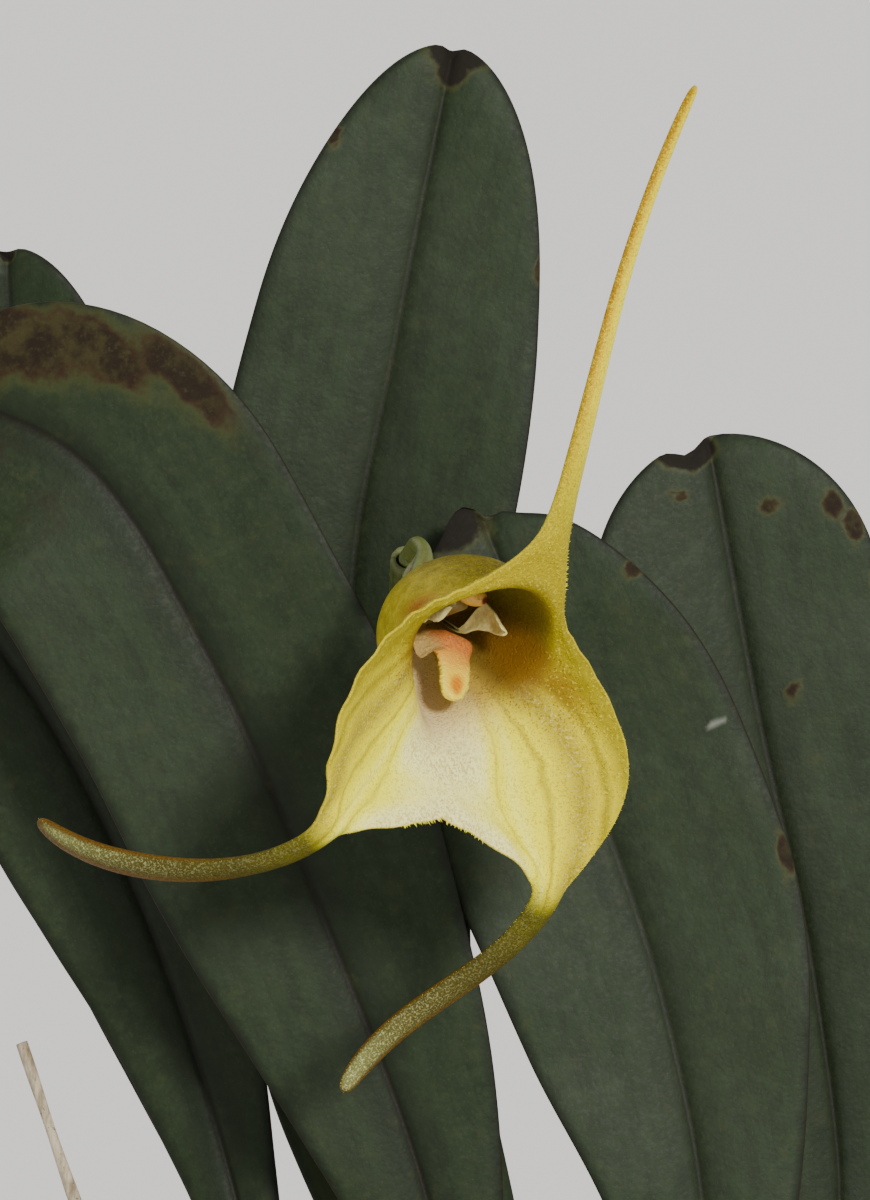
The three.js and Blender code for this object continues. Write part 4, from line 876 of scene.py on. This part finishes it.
def add_tail(points, faces, root, tail, side, angles, first_lane):
    """Adds rows of three points from a root of three; side is 0 for the dorsal tail."""
    line = [np.array(points[root[1]][:3])] + [np.array(p[:3], float) for p in tail]
    across = np.array(points[root[2]][:3]) - np.array(points[root[0]][:3])
    before = root
    for i, (_, _, _, width, thick) in enumerate(tail):
        along = unit(line[min(i + 2, len(line) - 1)] - line[i])
        across = unit(across - across.dot(along) * along)
        row = []
        for k, q in enumerate((-1, 0, 1)):
            place = line[i + 1] + across * q * width / 2
            row.append(len(points))
            points.append([*place, thick, 7.5, angles[k], side, (i + 1) / len(tail), -q * first_lane,
                           float(q != 0), float(side == 0)])
        faces += [[before[q], before[q + 1], row[q + 1], row[q]] for q in (0, 1)]
        before = row


def subdivide(points, faces):
    """One Catmull-Clark step on an open cage; every value of a point is smoothed alike."""
    count, n = len(faces), len(points)
    pairs = np.sort(np.stack([faces, np.roll(faces, -1, 1)], 2).reshape(-1, 2), 1)
    edges, which = np.unique(pairs, axis=0, return_inverse=True)
    which = which.reshape(count, 4)
    closed = np.bincount(which.ravel(), minlength=len(edges)) == 2
    centre, mids = points[faces].mean(1), points[edges].mean(1)
    total = np.zeros((len(edges), points.shape[1]))
    q, r, rim_sum = (np.zeros_like(points) for _ in range(3))
    for j in range(4):
        np.add.at(total, which[:, j], centre)
        np.add.at(q, faces[:, j], centre)
    edge_points = mids.copy()
    edge_points[closed] = (mids[closed] * 2 + total[closed]) / 4
    valence = np.maximum(np.bincount(edges.ravel(), minlength=n), 1)[:, None]
    rim, rim_count = edges[~closed], np.zeros(n)
    for a, b in ((0, 1), (1, 0)):
        np.add.at(r, edges[:, a], mids)
        np.add.at(rim_sum, rim[:, a], points[rim[:, b]])
        np.add.at(rim_count, rim[:, a], 1)
    q /= np.maximum(np.bincount(faces.ravel(), minlength=n), 1)[:, None]
    moved = (q + 2 * r / valence + (valence - 3) * points) / valence
    on_rim = rim_count > 0
    moved[on_rim] = points[on_rim] * 0.75 + rim_sum[on_rim] / 8
    at_edges, at_centres = n + which, n + len(edges) + np.arange(count)
    split = [np.stack([faces[:, j], at_edges[:, j], at_centres, at_edges[:, j - 1]], 1) for j in range(4)]
    return np.vstack([moved, edge_points, centre]), np.stack(split, 1).reshape(-1, 4)


def surface_normals(places, faces):
    cross = np.cross(places[faces[:, 2]] - places[faces[:, 0]], places[faces[:, 3]] - places[faces[:, 1]])
    normals = np.zeros_like(places)
    for j in range(4):
        np.add.at(normals, faces[:, j], cross)
    return unit(normals)


def open_edges(faces):
    """The directed edges that only one face uses."""
    edges = np.stack([faces, np.roll(faces, -1, 1)], 2).reshape(-1, 2)
    size = int(faces.max()) + 1
    return edges[~np.isin(edges @ [size, 1], edges @ [1, size])]


def vein_bands(angle, ring, side):
    """The place across a lateral sepal: 0 on the middle vein, 1 on the inner, -1 on the outer."""
    middle = 118 + 25 * np.clip((ring - 4.6) / 2.4, 0, 1) ** 2.2 + 8 * bell(ring - 5.2, 0.8) * (side < 0)
    off = angle - middle
    inner_gap = 12 + 14 * smooth(ring, 4.3, 5.6) - 16 * smooth(ring, 6, 7)
    return np.where(off > 0, off / inner_gap, off / 23)


def build_calyx():
    """The sepals' two skins; returns the middle surface, its rims and values for the fringe."""
    points, faces = sepal_cage()
    for _ in range(CALYX_SUBDIVISIONS):
        points, faces = subdivide(points, faces)
    places = points[:, :3]
    thick, ring, angle, side, tail, lane, edge, dorsal = points[:, THICK:].T
    inward = surface_normals(places, faces)
    if inward[:, 2].mean() < 0:
        faces, inward = faces[:, ::-1], -inward

    band = vein_bands(angle, ring, side)
    on_blade = smooth(tail, 0.1, 0) * (1 - dorsal)
    vein = np.maximum(bell(band, 0.09), 0.7 * np.maximum(bell(band - 1, 0.08), bell(band + 1, 0.09)))
    vein = vein * smooth(ring, 2, 3.6) * on_blade
    ripple = 0.1 * np.sin(0.55 * angle + 1.1 * ring) * smooth(ring, 4.5, 6.5) * on_blade
    curl = 0.16 * smooth(edge, 0.35, 1) * smooth(ring, 5, 6.8) * on_blade
    places = places + (ripple - curl)[:, None] * inward
    thin_margin = 1 - 0.74 * smooth(edge, 0.35, 1)
    round_section = np.sqrt(np.clip(1 - 0.97 * lane ** 2, 0.03, 1))
    half = thick * lerp(thin_margin, round_section, smooth(tail, 0, 0.2))
    inner = places + (half - 0.09 * vein)[:, None] * inward
    outer = places - (half + 0.16 * vein)[:, None] * inward

    rims, count = open_edges(faces), len(places)
    walls = np.stack([rims[:, 1], rims[:, 0], rims[:, 0] + count, rims[:, 1] + count], 1)
    all_faces = np.vstack([faces, faces[:, ::-1] + count, walls])
    streak = bell(angle - 71, 13) * bell(ring - 3.5 + 0.02 * (angle - 71), 0.38) * (side < 0)
    # blush: an orange-brown patch on the right lateral's inner face under the hood, reaching over the right
    # lobe; partly its own colour and partly painted shadow of the hood.
    outer_blush = 0.7 * bell(angle - 91, 12) * smooth(ring, 3.5, 4.6) * smooth(ring, 7, 5) * (side > 0)
    blush_and_hood_shade = np.maximum(bell(angle - 88, 24) * bell(ring - 3.5, 1.3), outer_blush)
    lilac = np.maximum(smooth(band, 1.5, 2.6), 0.7 * bell(band + 0.52, 0.26))
    lilac = lilac * smooth(ring, 3.4, 4.8) * (1 - dorsal)
    values = {"ring": ring, "tail": tail, "lane": lane, "edge": edge, "dorsal": dorsal, "band": band,
              "vein": vein, "streak": streak, "blush_and_hood_shade": blush_and_hood_shade, "lilac": lilac}
    values = {key: np.tile(data, 2) for key, data in values.items()}
    skins = placed(np.vstack([inner, outer]))
    values["front"] = surface_normals(skins, all_faces) @ AHEAD
    values["inner"] = np.repeat([1.0, 0.0], count)
    add_mesh("calyx_sepals", skins, all_faces.tolist(), SEPAL, ["calyx"], values)
    return places, inward, points, rims, values


def build_fringe(places, inwards, points, rims, sepal_values):
    """Tiny hairs along the free edges, longest at the notch and on the dorsal tail's right side."""
    pick = np.random.default_rng(7)
    values = {**dict.fromkeys(sepal_values, 0), "ring": 7, "band": 1.2, "edge": 1, "inner": 1}
    hairs = []
    for a, b in rims:
        _, angle, _, tail, lane, _, dorsal = ((points[a] + points[b]) / 2)[RING:]
        hood_side = dorsal > 0.5 and lane > 0.2 and tail < 0.5
        notch = angle > 168 and tail < 0.02
        length = 0.3 if notch else 0.2 if hood_side else 0.11
        spacing = 0.16 if notch or hood_side else 0.34
        along, inward = unit(places[b] - places[a]), unit(inwards[a] + inwards[b])
        away = unit(np.cross(along, inward))
        for _ in range(int(np.linalg.norm(places[b] - places[a]) / spacing + pick.random())):
            foot = lerp(places[a], places[b], pick.random())
            lean = away * pick.uniform(0.6, 1.2) + along * pick.uniform(-0.4, 0.4)
            tip = foot + length * (lean + inward * pick.uniform(-0.3, 0.4))
            foot = foot - away * 0.1
            base = length * 0.2 + 0.01
            ring = [foot + base * (math.cos(w) * along + math.sin(w) * inward) for w in (0.5, 2.1, 3.7, 5.3)]
            faces = [[0, 1, 4], [1, 2, 4], [2, 3, 4], [3, 0, 4], [3, 2, 1, 0]]
            hairs.append((placed(np.array(ring + [tip])), faces, values))
    add_joined("calyx_fringe", hairs, SEPAL, shade=False)


build_fringe(*build_calyx())


# ---- flower: the inner parts

def add_petal(name, node, side, lower, upper, places, seed, ragged):
    """A petal by the heights of its lower and upper edges at places along it, folded outward."""
    pick = np.random.default_rng(seed)
    f = np.linspace(places[0], places[-1], 70)[:, None]
    waver = sum(a * np.sin(w * f + pick.uniform(0, 6)) for a, w in ((0.5, 5), (0.3, 11), (0.2, 19)))
    high = np.interp(f, places, upper) + ragged * waver * smooth(f, places[0] + 2, places[0] + 3.5)
    low = np.interp(f, places, lower) + 0.5 * ragged * waver[::-1]
    share = (f - places[0]) / (places[-1] - places[0])
    x = side * (1.7 + 0.9 * np.sin(math.pi * share * 0.75))
    centre = np.stack([x, (low + high) / 2, f], -1)
    half = np.stack([side * -0.25 * share, (high - low) / 2, np.zeros_like(f)], -1)
    end = dome(np.minimum(share, 1 - share) / 0.04, 0.03)
    across, thick = squared(circle(24), 0.7)
    out = 0.24 * thick * end + 0.35 * (1 - across ** 2)
    grid = (centre + across[:, None] * half * (0.4 + 0.6 * end[..., None])
            + out[..., None] * np.array([side, 0, 0]))
    add_lofted(name, placed(grid), PETAL, "petal", node, along=share, across=across)


add_petal("petal_right_blade", "petal_right", 1, [0.3, 0.15, 0.1, 0.2, 0.62, 0.92, 1.14, 1.22, 1.42],
          [0.6, 0.5, 0.35, 0.95, 2.3, 3.03, 2.8, 2.28, 2],
          [-5.6, -4.9, -4.1, -3.65, -3.1, -2.5, -1.5, -0.3, 0.55], seed=3, ragged=0.03)
add_petal("petal_left_blade", "petal_left", -1, [0.6, 0.5, 0.4, 0.2, 0.3, 0.6, 1, 0.9, 1.1, 1.6, 2.3],
          [1.2, 1.7, 2.4, 2.8, 3, 3.1, 3.2, 3.2, 3.1, 2.9, 2.7],
          [-5.6, -4.8, -3.8, -2.8, -2.4, -1.9, -1.6, -1, -0.5, -0.1, 0.2], seed=5, ragged=0.13)

# Rows of the lip: the middle of its section, and from there to its right edge.
LIP_ROWS = [[0.1, -1.3, -4.4, 0.9, 0, 0], [-0.1, -0.4, -3.8, 2.1, -0.5, 0], [0.55, -0.2, -3, 2.3, -0.15, 0],
            [0.75, -1.2, -2.1, 1.75, -0.3, 0], [0.6, -2, -1.1, 1.4, 0, 0], [0.25, -2.9, -0.1, 1.3, 0, 0],
            [-0.05, -3.6, 0.6, 0.95, 0, 0], [-0.15, -3.95, 1, 0.5, 0, 0]]
LIP_HALF_THICKNESS = 0.36


def build_lip():
    """A thick tongue, rounded at its ends, with a flange at its left and a rough margin."""
    t = np.linspace(0, 1, 90)[:, None]
    rows = Line(LIP_ROWS, fine=20).at(t)
    centre, half = rows[..., :3], rows[..., 3:]
    normal = unit(np.cross(unit(np.gradient(centre, axis=0)), half))
    end = dome(np.minimum(t, 1 - t) / 0.05, 0.02)
    across, thick = squared(circle(28), 0.8)
    grid = (centre + across[:, None] * half * end[..., None]
            + (LIP_HALF_THICKNESS * thick * end)[..., None] * normal)
    flange = bell(t - 0.26, 0.15) * np.clip(-across, 0, 1) ** 1.5
    bumps = np.random.default_rng(13).normal(0, 1, grid.shape[:2])
    swell = 0.05 * bumps * smooth(np.abs(across), 0.6, 1) * smooth(t, 0.3, 0.6) * np.sign(across)
    grid = grid + flange[..., None] * [0.35, -2.1, 0.3] + swell[..., None] * [1, 0.4, 0.4]
    add_lofted("lip_blade", placed(grid), lip_material(), "lip", "lip", along=t, across=across)


FLOWER_UP = np.array([0.0, 1.0, 0.0])


def build_column():
    """The column, hollowed below, and its foot, both spotted towards the bottom of the cup."""
    stem, _, _ = tube(Line([[0, -0.3, -7.9], [0, 0.3, -6.6], [0, 1.5, -4.4], [0, 2.7, -2.6]]),
                      lambda s: lerp(0.75, 1, s), sides=24, rows=50, facing=FLOWER_UP,
                      extra=lambda s, a: -0.22 * bell(np.sin(a) + 1, 0.35) * smooth(s, 0.4, 0.8))
    foot, _, _ = tube(Line([[0, 0.3, -6.2], [0, -1.1, -6], [0, -1.9, -5.3]]), lambda s: lerp(0.7, 0.5, s),
                      sides=16, rows=24, facing=ACROSS_X)
    parts = []
    for points, faces in (lofted(stem), lofted(foot)):
        parts.append((placed(points), faces, {"spot": smooth(points[:, 2], -5.5, -7) * 0.6}))
    material = spotted_material("column_shaded", (300, 200, 50), (200, 60, 20))
    add_joined("column_stem", parts, material, ["column"])


ANTHER_CENTRE = (0.15, 3.4, -1.4)
ANTHER_RADII = (1.25, 0.72, 0.95)


def build_anther():
    """The anther cap: a flattened ball with a furrow over its top."""
    theta, phi = np.linspace(0.06, math.pi - 0.06, 26)[:, None], circle(36)
    ball = np.stack([np.sin(theta) * np.cos(phi), np.sin(theta) * np.sin(phi), np.cos(theta) + 0 * phi], -1)
    furrow = 1 - 0.1 * bell(ball[..., 0], 0.18) * (ball[..., 1] > 0)
    cap = ball * ANTHER_RADII * furrow[..., None] + ANTHER_CENTRE
    material = spotted_material("anther_peach", (800, 440, 70), (120, 6, 8))
    add_lofted("anther_cap_shell", placed(cap), material, "anther", "anther_cap",
               spot=smooth(0.62 * ball[..., 0] + 0.78 * ball[..., 2], 0.84, 0.95))


build_lip()
build_column()
build_anther()


# ---- flower: ovary and pedicel

PEDICEL = Line([
    [-9.95, -8.6, 179.2], [-9.35, -11.1, 180.25], [-8.8, -13.7, 179.75], [-9.3, -16.2, 177.95],
    [-9.9, -18.2, 176.5]])


def swelling(s):
    return smooth(s, 0.45, 0.75)


def furrows(s, a):
    return np.cos(6 * a + 2.5 * s)


grid, t, angle = tube(PEDICEL, lambda s: lerp(0.6, 1.15, swelling(s)), sides=36, rows=90,
                      facing=ACROSS_X, extra=lambda s, a: -0.11 * swelling(s) * furrows(s, a))
material = spotted_material("ovary_green", (125, 150, 30), (85, 45, 12))
add_lofted("ovary_ribbed", grid, material, "ovary", "ovary",
           spot=0.6 * smooth(0.5 + 0.5 * furrows(t, angle), 0.6, 1) * smooth(t, 0.4, 0.7))


# ---- rhizome and roots

RHIZOME_HEIGHT = MIX_TOP + 0.6
RHIZOME_RADIUS = 2.35
ROOT_RADIUS = 0.9
RHIZOME_RUNS = [
    [[-18.5, -9], [-16, -7], [-12, -4], [-6, -3], [0, -4], [6, -5], [12, -5], [17, -3], [19.5, -1.5]],
    [[-16, -7], [-14, 1], [-10, 8], [-6, 15], [-4.5, 17.5]],
    [[-6, -3], [-3, 1.5], [0, 6], [6, 13], [15, 13], [18, 14]],
    [[0, 6], [7, 4], [13, 5], [17, -3]],
]
ROOT_LINES = [
    [[-18, -8.5, 72.4], [-23, -13, 73.2], [-26, -17, 71.5], [-26, -19, 64], [-24, -19, 54]],
    [[18, -3, 72.4], [23, -9, 73.4], [25, -16, 72], [24, -20, 65], [21, -21, 54]],
    [[6, -5, 72], [6, -11, 73.2], [3, -17, 72.4], [1, -22, 66], [2, -25, 55]],
    [[-10, 9, 72], [-16, 13, 73], [-22, 16, 71], [-25, 18, 64], [-24, 20, 52]],
    [[16, 13.5, 72], [22, 13, 73.2], [27, 11, 71], [28, 9, 64], [27, 8, 54]],
]


def build_rhizome():
    parts = []
    for run in RHIZOME_RUNS:
        line = Line([[x, y, RHIZOME_HEIGHT] for x, y in run])
        grid, _, _ = tube(
            line, lambda s: RHIZOME_RADIUS * (1 + 0.05 * np.sin(len(run) * 9 * s))
            * dome(np.minimum(s, 1 - s) / 0.03, 0.05), sides=26, rows=int(line.length * 2.2), facing=UP,
            extra=lambda s, a: 0.05 * np.sin(line.length * 1.9 * s) ** 8 + 0.03 * np.sin(3 * a + 20 * s))
        parts.append((*lofted(grid), {"root": 0}))
    for i, run in enumerate(ROOT_LINES):
        grid, _, _ = tube(Line(run), lambda s: ROOT_RADIUS * (1 - 0.35 * s), sides=14, rows=70,
                          extra=lambda s, a: 0.08 * np.sin(31 * s + i) * np.cos(a + 9 * s))
        parts.append((*lofted(grid), {"root": 1}))
    add_joined("rhizome_and_roots", parts, rhizome_material(), ["rhizome"])


build_rhizome()


# ---- pot

POT_SIDES = 144


def pot_inner_radius(z):
    share = (z - POT_FLOOR) / (POT_HEIGHT - POT_FLOOR)
    return lerp(POT_FOOT_RADIUS - POT_WALL - 0.5, POT_RIM_RADIUS - POT_WALL, share)


def lathe(profile, sides, wobble=0.0):
    """Turns a profile of (radius, height) round the upright axis, a little out of round by wobble."""
    phase = np.random.default_rng(2).uniform(0, 6, 3)
    radius, height = np.array(profile, float).T[..., None]
    angle = circle(sides)
    drift = wobble * (np.sin(2 * angle + phase[0]) + 0.5 * np.sin(3 * angle + phase[1]))
    radius = radius + drift * smooth(radius, 5, 20)
    return np.stack([radius * np.cos(angle), radius * np.sin(angle), height + 0 * angle], -1)


def rounded(profile, reach, steps=5):
    """A profile with each inner corner replaced by a short arc."""
    profile = np.array(profile, float)
    out = [profile[0]]
    for a, b, c in zip(profile, profile[1:], profile[2:]):
        cut = min(reach, 0.45 * np.linalg.norm(b - a), 0.45 * np.linalg.norm(c - b))
        start, end = b + cut * unit(a - b), b + cut * unit(c - b)
        out += [(1 - s) ** 2 * start + 2 * s * (1 - s) * b + s ** 2 * end for s in np.linspace(0, 1, steps)]
    return [*out, profile[-1]]


def build_pot():
    rim_foot = POT_HEIGHT - POT_RIM_DEPTH
    wall_top = POT_RIM_RADIUS - POT_RIM_LEDGE - 1
    profile = rounded([
        [0.02, 0], [POT_FOOT_RADIUS - 0.2, 0], [POT_FOOT_RADIUS + 0.05, 1.2],
        [wall_top - 0.4, rim_foot - 0.2], [POT_RIM_RADIUS - 0.6, rim_foot],
        [POT_RIM_RADIUS - 0.1, POT_HEIGHT - 0.2],
        [pot_inner_radius(POT_HEIGHT) + 0.1, POT_HEIGHT], [pot_inner_radius(POT_FLOOR + 2), POT_FLOOR + 2],
        [pot_inner_radius(POT_FLOOR) - 2, POT_FLOOR], [0.02, POT_FLOOR]], 1.1)
    dense = [profile[0]]
    for a, b in zip(profile, profile[1:]):
        steps = max(1, int(math.dist(a, b) / 3))
        dense += [lerp(a, b, s) for s in np.linspace(0, 1, steps + 1)[1:]]
    pot = add_lofted("pot_clay_body", lathe(dense, POT_SIDES, 0.06), clay_material(), "clay", "pot")
    for i in range(DRAIN_COUNT):
        turn = 2 * math.pi * (i + 0.5) / DRAIN_COUNT
        bpy.ops.mesh.primitive_cylinder_add(
            vertices=48, radius=DRAIN_RADIUS * MM, depth=4 * POT_FLOOR * MM,
            location=(DRAIN_CIRCLE * math.cos(turn) * MM, DRAIN_CIRCLE * math.sin(turn) * MM, 0))
        cutter = bpy.context.object
        cut = pot.modifiers.new("drain", "BOOLEAN")
        cut.operation, cut.solver, cut.object = "DIFFERENCE", "EXACT", cutter
        bpy.context.view_layer.objects.active = pot
        bpy.ops.object.modifier_apply(modifier="drain")
        bpy.data.objects.remove(cutter)
    for face in pot.data.polygons:
        face.use_smooth = abs(face.normal.z) < 0.98 or face.area > 3e-5


build_pot()


# ---- potting mix

MIX_SIDES = 120
CHIP_COUNT = 170
CHIP_TRIES = 4000
CHIP_FLAKES = 7
MOSS_STRANDS = 420
MOSS_HOMES = [[-20, 4], [10, -14], [22, 5], [-5, -14], [-22, -2], [2, 22], [12, 22], [-14, -18], [25, -8]]


def mix_radius(z):
    return pot_inner_radius(z) - 0.3


def clearance_in_plan(x, y):
    """The distance in plan from a point to the middle of the nearest rhizome."""
    best = math.inf
    for run in RHIZOME_RUNS:
        for a, b in zip(run, run[1:]):
            along, to = np.subtract(b, a), np.subtract((x, y), a)
            share = np.clip(to.dot(along) / along.dot(along), 0, 1)
            best = min(best, np.linalg.norm(to - share * along))
    return best


def bark_chip(pick, size):
    """One broken chip: a flattened many-sided lump with flaked faces."""
    bm = bmesh.new()
    bmesh.ops.create_icosphere(bm, subdivisions=2, radius=1.0)
    points = np.array([p.co[:] for p in bm.verts])
    faces = [[p.index for p in face.verts] for face in bm.faces]
    bm.free()
    shape = [size * pick.uniform(low, high) for low, high in ((0.45, 0.62), (0.28, 0.45), (0.14, 0.22))]
    for _ in range(CHIP_FLAKES):
        cut = unit(pick.normal(0, 1, 3))
        over = np.maximum(points @ cut - pick.uniform(0.55, 0.8), 0)
        points = points - over[:, None] * cut
    points = points * shape * (1 + pick.normal(0, 0.05, len(points)))[:, None]
    tilt = pick.uniform(-0.4, 0.4, 2)[0]
    turn = pick.uniform(0, math.pi)
    return points @ (turned("z", math.degrees(turn)) @ turned("x", math.degrees(tilt))).T, faces


def build_soil(pick):
    bottom, shoulder, steps = POT_FLOOR + 2.3, mix_radius(MIX_TOP - 2), 18
    profile = [[0.02, bottom], [mix_radius(bottom), bottom], [shoulder, MIX_TOP - 2],
               [shoulder - 1.2, MIX_TOP - 1]]
    top = len(profile)
    profile += [[lerp(mix_radius(MIX_TOP) - 1.2, 0.02, k / steps), MIX_TOP - 1] for k in range(1, steps + 1)]
    grid = lathe(profile, MIX_SIDES)
    lumps = pick.normal(0, 0.35, grid.shape[:2])
    lumps = (lumps + np.roll(lumps, 1, 1) + np.roll(lumps, -1, 1)) / 1.6
    grid[top:, :, 2] += lumps[top:]
    add_lofted("potting_mix_body", grid, soil_material(), "bark", "potting_mix")


def build_chips(pick):
    chips, spots = [], []
    for _ in range(CHIP_TRIES):
        if len(chips) == CHIP_COUNT:
            break
        size = pick.uniform(5, 10.5)
        reach = (mix_radius(MIX_TOP) - 0.62 * size) * math.sqrt(pick.random())
        turn = 2 * math.pi * pick.random()
        x, y = reach * math.cos(turn), reach * math.sin(turn)
        if clearance_in_plan(x, y) < 2.4 + 0.32 * size:
            continue
        if any((x - a) ** 2 + (y - b) ** 2 < (0.42 * min(size, s)) ** 2 for a, b, s in spots):
            continue
        points, faces = bark_chip(pick, size)
        z = MIX_TOP - 0.6 + pick.uniform(-0.6, 0.9)
        chips.append((points + [x, y, z], faces, {"tone": pick.random()}))
        spots.append((x, y, size))
    add_joined("bark_chips", chips, bark_material(), shade=False)


def build_moss(pick):
    strands = []
    for _ in range(MOSS_STRANDS):
        x, y = MOSS_HOMES[pick.integers(0, len(MOSS_HOMES))] + pick.normal(0, 3.6, 2)
        if math.hypot(x, y) > mix_radius(MIX_TOP) - 3.5 or clearance_in_plan(x, y) < 2.6:
            continue
        foot = np.array([x, y, MIX_TOP - 0.8])
        lean = pick.normal(0, 1.3, 3)
        lean[2] = pick.uniform(1.4, 3)
        line = Line([foot, foot + lean * 0.5 + pick.normal(0, 0.25, 3), foot + lean], fine=8)
        grid, _, _ = tube(line, lambda s: 0.3 * (1 - s) ** 0.6 + 0.03, sides=5, rows=9,
                          facing=np.array([1, 0.3, 0.1]), extra=lambda s, a: 0.35 * np.sin(s * 26))
        strands.append((*lofted(grid), {"tone": pick.random()}))
    add_joined("moss_strands", strands, moss_material())


mix_pick = np.random.default_rng(31)
build_soil(mix_pick)
build_chips(mix_pick)
build_moss(mix_pick)


# ---- floor, light and camera

bpy.ops.mesh.primitive_plane_add(size=60, location=(0, 0, 0))
floor = bpy.context.object
floor.name = "floor"
floor.data.materials.append(Graph("floor_pale").finish((900, 890, 870), 0.9))

world = bpy.data.worlds.new("studio")
bpy.context.scene.world = world
world.use_nodes = True
background = world.node_tree.nodes["Background"]
background.inputs["Color"].default_value = (0.9, 0.9, 0.9, 1)
background.inputs["Strength"].default_value = 0.68


def add_sun(name, energy, softness, colour, travel):
    light = bpy.data.lights.new(name, "SUN")
    light.energy = energy
    light.angle = math.radians(softness)
    light.color = colour
    sun = bpy.data.objects.new(name, light)
    sun.rotation_euler = Vector(travel).to_track_quat("-Z", "Y").to_euler()
    bpy.context.scene.collection.objects.link(sun)


add_sun("key", 3.5, 10, (1.0, 0.975, 0.94), (-0.34, 0.86, -0.42))
add_sun("back_fill", 0.45, 40, (0.95, 0.97, 1.0), (0.5, -0.8, -0.55))

camera_data = bpy.data.cameras.new("camera")
camera_data.lens, camera_data.sensor_width = 150, 36
camera_data.clip_start, camera_data.clip_end = 0.02, 200
camera = bpy.data.objects.new("camera", camera_data)
camera.location = (-0.008, -0.3815, 0.2281)
camera.rotation_euler = (math.radians(82), 0, 0)
bpy.context.scene.collection.objects.link(camera)
bpy.context.scene.camera = camera
